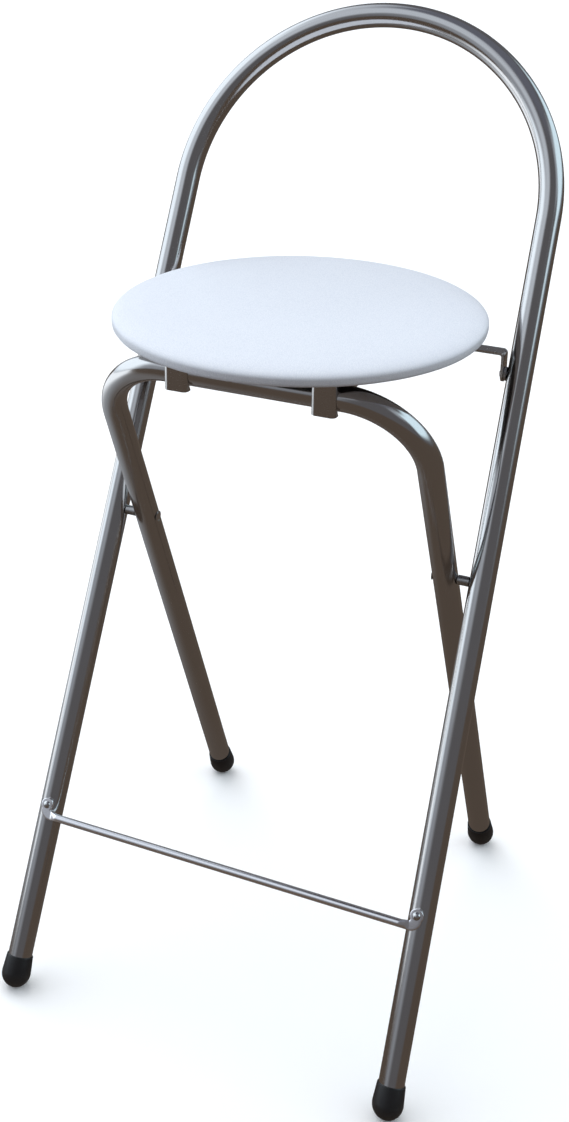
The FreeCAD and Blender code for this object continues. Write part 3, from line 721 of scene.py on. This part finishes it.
@dataclass
class FootCap(SubAssembly):
    """A plastic boot on a leg's end: rolled rim, bulged side and a ball end with a small flat."""

    rim_r: float = 0.0139
    rim_along: float = 0.035
    rim_roll: float = 0.0006
    bore_r: float = 0.01272
    bore_depth: float = 0.004

    def build(self, node: str, foot: Array, up: Array) -> None:
        """Build one cap round a leg.

        Args:
            node: The CAD node that it replaces.
            foot: Where the leg's axis meets the floor.
            up: The leg's direction.
        """
        ball_r = self.plan.cap_bulge_r
        centre = self.plan.cap_axis_up / up[2]
        angle = np.degrees(np.arctan2(ball_r - self.rim_r, self.rim_along - centre))
        ball = arc((0.0, centre), ball_r, -90, angle, 28)
        roll = arc((self.rim_r - self.rim_roll, self.rim_along - self.rim_roll), self.rim_roll, angle, 165, 8)
        bottom = self.rim_along - self.bore_depth
        profile = np.vstack([ball, roll, [[self.bore_r, bottom], [0.0, bottom]]])
        cap = lathe(node + "_moulded", profile, foot, up, around=72, sharp=60)
        co = points_of(cap.data)
        co[:, 2] = np.maximum(co[:, 2], 0.0)
        set_points(cap.data, co)
        self.add(cap, self.finishes.plastic, "foot_plastic", node)


@dataclass(frozen=True)
class Rivet:
    """A domed rivet: head, shank and an upset or domed tail, as one turned shape."""

    head_r: float
    head_height: float
    shank_r: float
    domed_tail: bool = False
    tail_r: float = 0.0044
    tail_thick: float = 0.002
    tail_edge: float = 0.0003
    dome_share: float = 0.97
    lip_height: float = 0.00025
    lip_shares: tuple[float, float] = (0.995, 0.985)

    def build(self, name: str, start: Array, direction: Array, length: float) -> bpy.types.Object:
        """Build the rivet.

        Args:
            name: The object's name.
            start: The middle of the head's flat side.
            direction: From the head to the tail.
            length: From the head's flat side to the tail's end, or to a domed tail's flat side.

        Returns:
            The rivet.
        """
        ball = (self.head_r**2 + self.head_height**2) / (2 * self.head_height)
        edge = math.degrees(math.asin(self.head_r / ball))
        dome = arc((0.0, ball - self.head_height), ball, -90, -90 + edge * self.dome_share, 14)
        upper, lower = (self.head_r * share for share in self.lip_shares)
        lip = np.array([[upper, -self.lip_height], [lower, 0.0], [self.shank_r, 0.0]])
        if self.domed_tail:
            tail = np.vstack([lip[::-1], dome[::-1]]) * np.array([1, -1]) + np.array([0, length])
        else:
            foot, rim = length - self.tail_thick, self.tail_r - self.tail_edge
            tail = np.array([
                [self.shank_r, foot], [self.tail_r, foot], [self.tail_r, length - self.tail_edge],
                [rim, length], [0.0, length],
            ])
        return lathe(name, np.vstack([dome, lip, tail]), start, direction, around=40, sharp=50)


@dataclass
class BentFrame(SubAssembly):
    """What the two tube frames share: the bent tube and the foot caps."""

    def add_tube(self, name: str, path: Array, normal: Array, slot: str, node: str) -> None:
        """Add a bent tube, its ends closed at the bore's radius.

        Args:
            name: The piece's name.
            path: Its centre line, one row per point, the first and the last point twice.
            normal: The normal of the frame's plane.
            slot: The record's material slot.
            node: The CAD node that it replaces.
        """
        radii = np.full(len(path), self.plan.tube_r)
        radii[[0, -1]] = self.plan.tube_r - self.plan.tube_wall
        self.add(sweep(name, path, normal, radii, around=72), self.finishes.tube, slot, node)

    def add_cap(self, end: str, side: Side, on_plane: Callable, half: Callable, step: float = 0.1) -> None:
        """Add the foot cap of one leg.

        Args:
            end: Front or rear, as the node's name starts.
            side: The stool's side.
            on_plane: The plan's points in the frame's plane.
            half: Half the distance between the frame's legs.
            step: How far up the leg its direction is read.
        """
        foot = on_plane(side.value * half(0.0), 0.0)
        up = unit(on_plane(side.value * half(step), step) - foot)
        FootCap(self.plan, self.finishes, self.body).build(f"{end}_foot_cap_{side.word}", foot, up)


@dataclass
class HoopFrame(BentFrame):
    """The front legs and backrest hoop, with foot rail, foot caps, pivots and seat hinge rivets."""

    body: str = "hoop_frame_body"
    rod_r: float = 0.004
    bend_r: float = 0.0064
    tab_rise: float = 0.0104
    tab_half: float = 0.0068
    tab_thick: float = 0.0036
    tab_inward: float = 0.0015
    tab_squareness: float = 0.62
    neck_angle: float = 36.0
    press_start: float = 0.0085
    press_length: float = 0.0095
    spread_length: float = 0.0185
    fit: float = 0.00005
    side_play: float = 0.0003
    rail_rivet: Rivet = Rivet(head_r=0.004, head_height=0.0026, shank_r=0.0025, domed_tail=True)
    pivot_rivet: Rivet = Rivet(head_r=0.0056, head_height=0.0014, shank_r=0.003)
    hinge_rivet: Rivet = Rivet(head_r=0.0055, head_height=0.0024, shank_r=0.003)

    @property
    def forward(self) -> Array:
        """The direction square to the hoop's plane, to the front and up."""
        return self.plan.on_hoop(0.0, 0.0, 1.0) - self.plan.on_hoop(0.0, 0.0)

    @property
    def tab_x(self) -> float:
        """Half the distance between the middles of the rail's tabs."""
        return self.plan.hoop_half(self.plan.rail_along + self.tab_rise) - self.tab_inward

    def build(self) -> None:
        """Build every piece of the hoop frame's body."""
        self.build_tube()
        self.build_rail()
        for side in Side:
            self.add_cap("front", side, self.plan.on_hoop, self.plan.hoop_half)
            self.build_rivets(side)

    def build_tube(self) -> None:
        """The bent tube: up one leg, round the hoop and down the other."""
        plan = self.plan
        meet = plan.hoop_centre_along + plan.hoop_r * sine(plan.hoop_splay)
        up = np.linspace(plan.tube_end(plan.hoop_lean), meet, 30)
        left = np.stack([-plan.hoop_half(up), up], -1)
        bow = arc((0.0, plan.hoop_centre_along), plan.hoop_r, 180 - plan.hoop_splay, plan.hoop_splay, 140)
        right = left[::-1] * np.array([-1, 1])
        flat = np.vstack([left[:1], left, bow[1:-1], right, right[-1:]])
        path = plan.on_hoop(flat[:, 0], flat[:, 1])
        self.add_tube("hoop_tube", path, self.forward, "front_tube", "hoop_frame")

    def build_rail(self) -> None:
        """The foot rail: a round rod whose ends are bent up and pressed into round flat tabs.

        Half the rail is a grid of sections along its centre line. Section i has half width w_i in the
        hoop's plane and half thickness t_i square to it. Its point j is
        C_i + w_i sgn(cos a_j) |cos a_j|^e_i W_i + t_i sgn(sin a_j) |sin a_j|^e_i F, where W_i lies in the
        plane square to the line and F is square to the plane. With e = 1 that is round, and a smaller e
        makes it flat with rounded edges. C_i stands t_i off the legs, so the back is flush all along.
        """
        plan = self.plan
        bend_x = self.tab_x - self.bend_r
        rod = np.stack([bend_x * (1 - np.linspace(1, 0, 60) ** 1.6), np.zeros(60)], -1)
        bend = arc((bend_x, self.bend_r), self.bend_r, -90, 0, 26)[1:]
        tab_up = self.tab_rise + self.tab_half * np.sin(np.radians(np.linspace(-self.neck_angle, 88.5, 34)))
        tab = np.stack([np.full(len(tab_up), self.tab_x), tab_up], -1)
        line = np.vstack([rod, bend, tab])
        along = np.concatenate([[0.0], np.cumsum(np.linalg.norm(np.diff(line, axis=0), axis=1))]) - bend_x
        flat = smoothstep((along + self.press_start) / self.press_length)
        spread = smoothstep((along + self.press_start) / self.spread_length)
        depth = np.clip((line[:, 1] - self.tab_rise) / self.tab_half, -1, 1)
        in_tab = np.arange(len(line)) >= len(rod) + len(bend)
        neck = self.tab_half * cosine(self.neck_angle)
        before_tab = self.rod_r + (neck - self.rod_r) * spread
        width = np.where(in_tab, self.tab_half * np.sqrt(1 - depth**2), before_tab)
        thick = self.rod_r + (self.tab_thick / 2 - self.rod_r) * flat
        power = 1.0 - self.tab_squareness * flat
        turn = unit(np.gradient(line, axis=0))
        a = np.linspace(0, 2 * np.pi, 48, endpoint=False)
        wide = np.sign(np.cos(a)) * np.abs(np.cos(a)) ** power[:, None] * width[:, None]
        deep = np.sign(np.sin(a)) * np.abs(np.sin(a)) ** power[:, None] * thick[:, None]
        x = line[:, :1] - turn[:, 1:] * wide
        up = plan.rail_along + line[:, 1:] + turn[:, :1] * wide
        forward = plan.tube_r + self.fit + thick[:, None] + deep
        rings = np.vstack([plan.on_hoop(-x, up, forward)[::-1], plan.on_hoop(x, up, forward)[1:]])
        rail = grid_object("foot_rail_rod", rings, (rings[0].mean(0), rings[-1].mean(0)), 50)
        self.add(rail, self.finishes.rod, "rail_rod", "foot_rail")

    def build_rivets(self, side: Side) -> None:
        """The rail, pivot and seat hinge rivets of one side."""
        plan, thick, fit = self.plan, self.tab_thick, self.fit
        up = plan.rail_along + self.tab_rise
        front = plan.on_hoop(side.value * self.tab_x, up, plan.tube_r + thick + 2 * fit)
        self.add_rivet("rail", side, self.rail_rivet, front, -self.forward, 2 * plan.tube_r + thick + 3 * fit)
        head = (plan.rear_pivot_half - plan.tube_r - self.side_play, plan.pivot_y, plan.pivot_z)
        self.add_cross_rivet("pivot", side, self.pivot_rivet, head, plan.pivot_axis_half)
        head = (plan.ear_outer_x - plan.ear_thick - self.side_play, plan.hinge_y, plan.hinge_z)
        self.add_cross_rivet("hinge", side, self.hinge_rivet, head, plan.hinge_axis_half)

    def add_cross_rivet(
        self, kind: str, side: Side, rivet: Rivet, head: tuple[float, float, float], leg_half: float
    ) -> None:
        """Add a rivet that runs across the stool into a front leg, its tail upset inside the tube.

        Args:
            kind: What the rivet holds, as the node's name starts.
            side: The stool's side.
            rivet: Its sizes.
            head: The middle of the head's flat side, on the right side.
            leg_half: Half the distance between the legs' axes there.
        """
        plan = self.plan
        tail_seat = math.sqrt((plan.tube_r - plan.tube_wall) ** 2 - rivet.tail_r**2) - self.fit
        start = np.array([side.value * head[0], head[1], head[2]])
        outward = np.array([side.value, 0.0, 0.0])
        self.add_rivet(kind, side, rivet, start, outward, leg_half - tail_seat + rivet.tail_thick - head[0])

    def add_rivet(
        self, kind: str, side: Side, rivet: Rivet, start: Array, direction: Array, length: float
    ) -> None:
        """Add a rivet of one side; the arguments after side are those of Rivet.build."""
        piece = rivet.build(f"{kind}_rivet_dome_{side.word}", start, direction, length)
        self.add(piece, self.finishes.rivet, "rivets", f"{kind}_rivet_{side.word}")


@dataclass
class RearLegs(BentFrame):
    """The rear leg frame with its crossbar and foot caps."""

    body: str = "rear_legs"

    def build(self) -> None:
        """Build the bent tube and its two caps."""
        plan = self.plan
        bar_half = plan.rear_half(plan.rear_bar_along)
        cut = plan.rear_corner_r * tangent((90 - plan.rear_splay) / 2)
        meet = plan.rear_bar_along - cut * cosine(plan.rear_splay)
        up = np.linspace(plan.tube_end(plan.rear_lean), meet, 26)
        left = np.stack([-plan.rear_half(up), up], -1)
        centre = (-(bar_half - cut), plan.rear_bar_along - plan.rear_corner_r)
        corner = arc(centre, plan.rear_corner_r, 180 - plan.rear_splay, 90, 44)
        across = np.linspace(centre[0], 0.0, 14)
        bar = np.stack([across, np.full(len(across), plan.rear_bar_along)], -1)
        half = np.vstack([left[:1], left, corner[1:], bar[1:]])
        flat = np.vstack([half, half[-2::-1] * np.array([-1, 1])])
        normal = np.cross([1.0, 0, 0], plan.on_rear(0.0, 1.0) - plan.on_rear(0.0, 0.0))
        path = plan.on_rear(flat[:, 0], flat[:, 1])
        self.add_tube("rear_tube", path, normal, "rear_tube", "rear_leg_frame")
        for side in Side:
            self.add_cap("rear", side, plan.on_rear, plan.rear_half)


@dataclass
class Cushion(SubAssembly):
    """The padded round seat in its vinyl cover, with its hem turned in under the board."""

    body: str = "seat"
    reach: float = 0.184
    under_r: float = 0.1515
    widest: float = 0.018
    thick: float = 0.0325
    cloth: float = 0.001
    vinyl: float = 0.0012
    hem_r: float = 0.118
    hem_roll: float = 0.0004
    hem_flat_ends: tuple[float, float] = (0.002, 0.0014)
    turn_roll: float = 0.0005
    crown_fullness: float = 0.783
    side_fullness: float = 0.82
    edge_rounding: float = 0.65
    around: int = 288
    pleats: float = 0.00045
    pleat_counts: tuple[int, ...] = (41, 53, 67, 88)
    pleat_ring: float = 0.003
    pleat_reach: float = 0.018
    pleat_drop: float = 0.4
    swell_side: float = 0.0008
    swell_top: float = 0.0016
    voxel: float = 0.005
    pressure: float = 4.0
    stiffness: float = 25.0
    frames: int = 20
    held_height: float = 0.005
    still_height: float = 0.0025
    neighbours: int = 12

    def profile(self, side_in: float, top_in: float) -> Array:
        """The half section, from the middle of the underside round to the top of the crown.

        Args:
            side_in: How far the widest ring is drawn in.
            top_in: How far the crown is lowered.

        Returns:
            Rows of radius and height: hem, drawn-in side as a Bezier curve, crown as a Bezier curve.
        """
        base = self.plan.seat_z + self.cloth
        board = base + self.vinyl
        widest = self.plan.seat_z + self.widest
        peak = self.plan.seat_z + self.thick - top_in
        reach, foot, roll = self.reach - side_in, self.under_r, self.hem_roll
        bulge = (reach, base + (widest - base) * self.side_fullness)
        turn = (reach, widest - (widest - base) * self.edge_rounding)
        shoulder = (reach, widest + (peak - widest) * self.crown_fullness)
        dome = (reach * self.crown_fullness, peak)
        inner = np.array([[0.0, board], [self.hem_r * 0.5, board], [self.hem_r - roll, board]])
        hem = arc((self.hem_r + roll, board - 2 * roll), roll, 180, 270, 4)
        ends = (self.hem_r + self.hem_flat_ends[0], foot - self.hem_flat_ends[1])
        flat = np.stack([np.linspace(*ends, 8), np.full(8, base)], -1)
        rounding = np.array([[foot - self.turn_roll, base + self.turn_roll / 5]])
        side = bezier([(foot, base + self.turn_roll), bulge, turn, (reach, widest)], 20)
        crown = bezier([(reach, widest), shoulder, dome, (0.0, peak)], 48)
        return np.vstack([inner, hem, flat, rounding, side, crown[1:]])

    def build(self) -> None:
        """Build the cushion from its smooth section, its pleats and the simulated swelling."""
        form = self.profile(self.swell_side, self.swell_top)
        origin = np.array([0.0, self.plan.seat_y, 0.0])
        cushion = lathe("seat_cushion", form, origin, np.array([0, 0, 1.0]), self.around, 75)
        co = points_of(cushion.data)
        co = co + self.swelling(cushion, co)
        co = co + self.gathers(co)
        set_points(cushion.data, co)
        self.add(cushion, self.finishes.vinyl, "vinyl", "seat_cover", "seat_foam")

    def gathers(self, co: Array) -> Array:
        """Small pleats where the vinyl is pulled in under the board.

        The offset is pleats x m(r) x w(a): w sums sines round the seat, m is 1 at the turn under the
        board and falls to nothing up the side and in at the hem.

        Args:
            co: The cushion's points.

        Returns:
            The offsets, out from the seat's middle line or in towards it, and up where they go in.
        """
        x, y = co[:, 0], co[:, 1] - self.plan.seat_y
        r = np.hypot(x, y)
        a = np.arctan2(y, x)
        rng = np.random.default_rng(11)
        phases = rng.uniform(0, 2 * np.pi, len(self.pleat_counts))
        wave = np.sin(a[:, None] * np.array(self.pleat_counts) + phases).sum(1) / 2
        low = np.clip(1 - np.abs(r - self.under_r - self.pleat_ring) / self.pleat_reach, 0, 1) ** 1.5
        under = co[:, 2] < self.plan.seat_z + self.widest * 0.8
        size = self.pleats * wave * low * under
        far = np.maximum(r, 1e-6)
        move = np.stack([x / far, y / far, np.full(len(r), -self.pleat_drop)], -1) * size[:, None]
        move[:, 2] = np.maximum(move[:, 2], 0.0)
        return move

    def swelling(self, cushion: bpy.types.Object, co: Array) -> Array:
        """Inflate a cloth copy of the cushion and read how far its surface moves.

        The copy is remeshed evenly, held at its underside and inflated. Each point of the cushion then
        moves by the mean of its nearest copy points' moves, weighted by 1 / distance^2.

        Args:
            cushion: The cushion before it swells.
            co: Its points.

        Returns:
            One offset per point.
        """
        scene = bpy.context.scene
        form = bpy.data.objects.new("cushion_form", cushion.data.copy())
        scene.collection.objects.link(form)
        remesh = form.modifiers.new("even", "REMESH")
        remesh.mode = "VOXEL"
        remesh.voxel_size = self.voxel
        graph = bpy.context.evaluated_depsgraph_get()
        even = bpy.data.meshes.new_from_object(form.evaluated_get(graph))
        bpy.data.objects.remove(form)
        cloth = bpy.data.objects.new("cushion_cloth", even)
        scene.collection.objects.link(cloth)
        rest = points_of(even)
        held = cloth.vertex_groups.new(name="held")
        low = np.flatnonzero(rest[:, 2] < self.plan.seat_z + self.held_height)
        held.add(low.tolist(), 1.0, "REPLACE")
        modifier = cloth.modifiers.new("inflate", "CLOTH")
        settings = modifier.settings
        settings.vertex_group_mass = held.name
        settings.quality = 6
        settings.tension_stiffness = self.stiffness
        settings.compression_stiffness = self.stiffness
        settings.bending_stiffness = 1.0
        settings.use_pressure = True
        settings.uniform_pressure_force = self.pressure
        settings.effector_weights.gravity = 0.0
        modifier.collision_settings.use_collision = False
        for frame_number in range(1, self.frames + 1):
            scene.frame_set(frame_number)
        blown = cloth.evaluated_get(bpy.context.evaluated_depsgraph_get())
        move = points_of(blown.to_mesh()) - rest
        blown.to_mesh_clear()
        bpy.data.objects.remove(cloth)
        scene.frame_set(1)
        return self.spread(co, rest, move)

    def spread(self, co: Array, rest: Array, move: Array) -> Array:
        """Carry the cloth's moves over to the cushion's points.

        Args:
            co: The cushion's points.
            rest: The cloth's points at rest.
            move: How far each of them moved.

        Returns:
            One offset per cushion point, scaled so that the largest fill the room left for them.
        """
        result = np.zeros_like(co)
        for part in np.array_split(np.arange(len(co)), 60):
            gap = np.linalg.norm(co[part, None, :] - rest[None, :, :], axis=2)
            near = np.argpartition(gap, self.neighbours, axis=1)[:, :self.neighbours]
            weight = 1 / (np.take_along_axis(gap, near, 1) + self.voxel * 0.6) ** 2
            weight /= weight.sum(1, keepdims=True)
            result[part] = (move[near] * weight[..., None]).sum(1)
        side = np.linalg.norm(result[:, :2], axis=1)
        log.info("cushion swelling: side %.4f top %.4f", side.max(), result[:, 2].max())
        result[:, :2] *= self.swell_side / max(side.max(), 1e-6)
        result[:, 2] *= self.swell_top / max(np.abs(result[:, 2]).max(), 1e-6)
        result[co[:, 2] < self.plan.seat_z + self.still_height] = 0.0
        return result


@dataclass
class KeptPieces:
    """The pieces that keep their CAD shape: seat steel, board, cloth, fasteners, spacers and washers."""

    finishes: Finishes

    def build(self, nodes: dict[str, bpy.types.Object]) -> None:
        """Dress each of them."""
        f = self.finishes
        looks = {
            "seat_hinge_bar": f.sheet, "seat_rail_left": f.sheet, "seat_rail_right": f.sheet,
            "seat_board": f.wood, "dust_cover": f.cloth, "rail_screws": f.zinc, "hinge_bar_screws": f.zinc,
            "cover_staples": f.zinc, "pivot_spacer_left": f.steel, "pivot_spacer_right": f.steel,
            "hinge_washer_left": f.steel, "hinge_washer_right": f.steel,
        }
        for name, material in looks.items():
            dress(nodes[name], material)
            log.info("%s: kept, %s", name, material.name)


ANGLES = ("Azimuth", "Elevation")


@dataclass(frozen=True)
class Glow:
    """A soft-edged patch of the studio that reflections see.

    Angles are in degrees: azimuth from the stool's front towards its right, elevation above the floor.
    """

    azimuth: tuple[float, float]
    elevation: tuple[float, float]
    colour: Colour
    soft: tuple[float, float]

    def values(self) -> dict[str, float]:
        """The patch group's inputs for this glow: the middle, half width and soft edge both ways."""
        result = {}
        for angle, (low, high), soft in zip(ANGLES, (self.azimuth, self.elevation), self.soft):
            result[angle + " middle"] = (low + high) / 2
            result[angle + " half"] = (high - low) / 2
            result[angle + " soft"] = soft
        return result


GLOWS = (
    Glow((-190, 190), (48, 140), (0.175, 0.185, 0.23), (1.0, 18.0)),
    Glow((-150, -35), (-42, 20), (0.42, 0.45, 0.50), (28.0, 24.0)),
    Glow((-150, -4), (-6, 74), (0.40, 0.43, 0.48), (30.0, 16.0)),
    Glow((-155, 4), (18, 76), (0.74, 0.81, 0.90), (26.0, 16.0)),
    Glow((-145, -46), (-6, 58), (1.45, 1.62, 1.78), (22.0, 14.0)),
    Glow((56, 110), (24, 58), (0.45, 0.50, 0.56), (16.0, 12.0)),
    Glow((78, 164), (3, 48), (1.09, 1.38, 1.55), (12.0, 10.0)),
)


@cache
def patch_group() -> bpy.types.NodeTree:
    """A soft rectangle of directions: smooth steps of (half - |angle - middle|) / soft, multiplied."""
    inputs = {angle + part: 0.0 for angle in ANGLES for part in ("", " middle", " half", " soft")}
    g = GroupMaker("soft patch", inputs, "Mask")
    masks = []
    for angle in ANGLES:
        gap = g.calc("ABSOLUTE", g.calc("SUBTRACT", g.given[angle], g.given[angle + " middle"]))
        inside = g.calc("SUBTRACT", g.given[angle + " half"], gap)
        masks.append(g.smooth(inside, 0.0, g.given[angle + " soft"]))
    return g.give(Mask=g.calc("MULTIPLY", *masks))


@dataclass
class Studio:
    """The floor, the soft light with its reflections, and the camera at the photograph's angle."""

    photo_width: int = 569
    photo_height: int = 1122
    eye: tuple[float, float, float] = (0.534025, -1.310128, 1.17984)
    target: tuple[float, float, float] = (0.000057, -0.122552, 0.6604)
    roll: float = 0.42
    focal_px: float = 1527.717
    centre_px: tuple[float, float] = (248.193, 395.778)
    sky: tuple[float, float, float, float] = (0.2, 0.42, 0.3, 0.25)
    room: Colour = (0.142, 0.14, 0.15)
    room_share: float = 0.8
    sun: float = 0.9
    sun_angle: float = 50.0
    sun_way: tuple[float, float, float] = (0.5, -0.45, -1.0)
    floor_size: float = 60.0
    floor_drop: float = 0.0006
    # Painted light: colours that the floor glows with to reflections and bounces, a brown for a dim room and
    # a cool pool of window light to the left.
    floor_painted_glow: Colour = (0.122, 0.0945, 0.0755)
    floor_painted_left_glow: Colour = (0.36, 0.38, 0.41)
    floor_painted_window_glow: Colour = (1.45, 1.55, 1.65)
    front_bound: tuple[float, float, float] = (-0.6, -0.55, 0.15)
    rear_bound: tuple[float, float, float] = (0.45, 0.5, -0.1)
    left_reach: tuple[float, float] = (-0.05, -0.85)
    far_left_reach: tuple[float, float] = (-0.7, -2.4)

    def build(self) -> None:
        """Build the floor, the lights and the camera."""
        self.build_floor()
        self.build_world()
        self.build_sun()
        self.build_camera()

    def build_floor(self) -> None:
        """A wide floor: white with the stool's shadow to the camera, and to reflections and bounces a painted
        glow of warm brown that stands in for a dim room, though the floor is no lamp.

        The brown goes over to a cool painted light far to the stool's left, a glowing pool as from a window.
        Each bound of that light is a smooth step of slope X + Y from its start to its full value, and each
        reach one of X.
        """
        half = self.floor_size / 2
        mesh = bpy.data.meshes.new("floor")
        ends = [(-half, -half), (half, -half), (half, half), (-half, half)]
        mesh.from_pydata([(x, y, -self.floor_drop) for x, y in ends], [], [(0, 1, 2, 3)])
        floor = bpy.data.objects.new("floor", mesh)
        bpy.context.scene.collection.objects.link(floor)
        p = Paint("white floor")
        p.set(Base_Color=WHITE, Roughness=1.0, Specular_IOR_Level=0.0)
        place = p.node("SeparateXYZ", Vector=p.place).outputs
        bounds = [
            p.smooth(p.calc("MULTIPLY_ADD", place["X"], slope, place["Y"]), start, full)
            for slope, start, full in (self.front_bound, self.rear_bound)
        ]
        left = p.calc("MULTIPLY", *bounds)
        # Painted light: the floor's emission, brown near the stool and going over to a bright painted window
        # pool to its left.
        glow = self.floor_painted_glow
        for reach, colour in ((self.left_reach, self.floor_painted_left_glow), (self.far_left_reach, self.floor_painted_window_glow)):
            glow = p.mixed(p.calc("MULTIPLY", left, p.smooth(place["X"], *reach)), glow, colour)
        mirrored = p.node("Emission", Color=glow, Strength=1.0).outputs[0]
        camera = p.node("LightPath").outputs["Is Camera Ray"]
        either = p.node("MixShader", in0=camera, in1=mirrored, in2=p.shader.outputs[0]).outputs[0]
        p.tree.links.new(either, p.tree.nodes["Material Output"].inputs["Surface"])
        mesh.materials.append(p.material)

    def build_world(self) -> None:
        """White to the camera, the glows to reflections, and a soft sky with a share of the glows elsewhere.

        The sky is level + top z^2 + rear y + sides |x| for a direction (x, y, z), and never below 0.
        """
        world = bpy.data.worlds.new("studio")
        world.use_nodes = True
        world.node_tree.nodes.clear()
        t = Tree(world.node_tree)
        x, y, z = t.node("SeparateXYZ", in0=t.node("TexCoord").outputs["Generated"]).outputs
        azimuth = t.calc("DEGREES", t.calc("ARCTAN2", x, t.calc("MULTIPLY", y, -1.0)))
        elevation = t.calc("DEGREES", t.calc("ARCSINE", z))
        glows = self.room
        for glow in GLOWS:
            where = {"Azimuth": azimuth, "Elevation": elevation, **glow.values()}
            patch = t.node("Group", node_tree=patch_group(), **where)
            glows = t.mixed(patch.outputs[0], glows, glow.colour)
        level, top, rear, sides = self.sky
        sky = t.calc("MULTIPLY_ADD", t.calc("POWER", z, 2.0), top, level)
        sky = t.calc("MULTIPLY_ADD", y, rear, sky)
        sky = t.calc("MULTIPLY_ADD", t.calc("ABSOLUTE", x), sides, sky)
        sky = t.calc("MAXIMUM", sky, 0.0)
        share = (self.room_share,) * 3
        light = t.node("VectorMath", operation="MULTIPLY_ADD", in0=glows, in1=share, in2=sky).outputs[0]
        path = t.node("LightPath").outputs
        seen = t.mixed(path["Is Glossy Ray"], t.mixed(path["Is Camera Ray"], light, WHITE), glows)
        t.node("OutputWorld", Surface=t.node("Background", Color=seen, Strength=1.0).outputs[0])
        bpy.context.scene.world = world

    def build_sun(self) -> None:
        """One very soft lamp from above, behind the stool's left."""
        lamp = bpy.data.lights.new("soft_key", "SUN")
        lamp.energy = self.sun
        lamp.angle = math.radians(self.sun_angle)
        obj = bpy.data.objects.new("soft_key", lamp)
        obj.rotation_euler = Vector(self.sun_way).to_track_quat("-Z", "Y").to_euler()
        obj.visible_glossy = False
        bpy.context.scene.collection.objects.link(obj)

    def build_camera(self) -> None:
        """The camera, fitted to the photograph."""
        eye = Vector(self.eye)
        ahead = (Vector(self.target) - eye).normalized()
        right = ahead.cross(Vector((0, 0, 1))).normalized()
        up = right.cross(ahead)
        turned_right = right * cosine(self.roll) + up * sine(self.roll)
        turned_up = up * cosine(self.roll) - right * sine(self.roll)
        data = bpy.data.cameras.new("photo_camera")
        longest = max(self.photo_width, self.photo_height)
        data.sensor_fit = "AUTO"
        data.sensor_width = 36.0
        data.lens = self.focal_px * data.sensor_width / longest
        data.shift_x = (self.photo_width / 2 - self.centre_px[0]) / longest
        data.shift_y = (self.centre_px[1] - self.photo_height / 2) / longest
        camera = bpy.data.objects.new("photo_camera", data)
        basis = Matrix((turned_right, turned_up, -ahead)).transposed().to_4x4()
        camera.matrix_world = Matrix.Translation(eye) @ basis
        bpy.context.scene.collection.objects.link(camera)
        bpy.context.scene.camera = camera
        bpy.context.scene.view_settings.view_transform = "Standard"


def main() -> None:
    """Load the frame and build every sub-assembly in order."""
    logging.basicConfig(level=logging.INFO, format="%(name)s: %(message)s")
    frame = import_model()
    plan = Plan()
    finishes = Finishes()
    HoopFrame(plan, finishes).build()
    RearLegs(plan, finishes).build()
    Cushion(plan, finishes).build()
    KeptPieces(finishes).build(frame["nodes"])
    Studio().build()


if __name__ == "__main__":
    main()
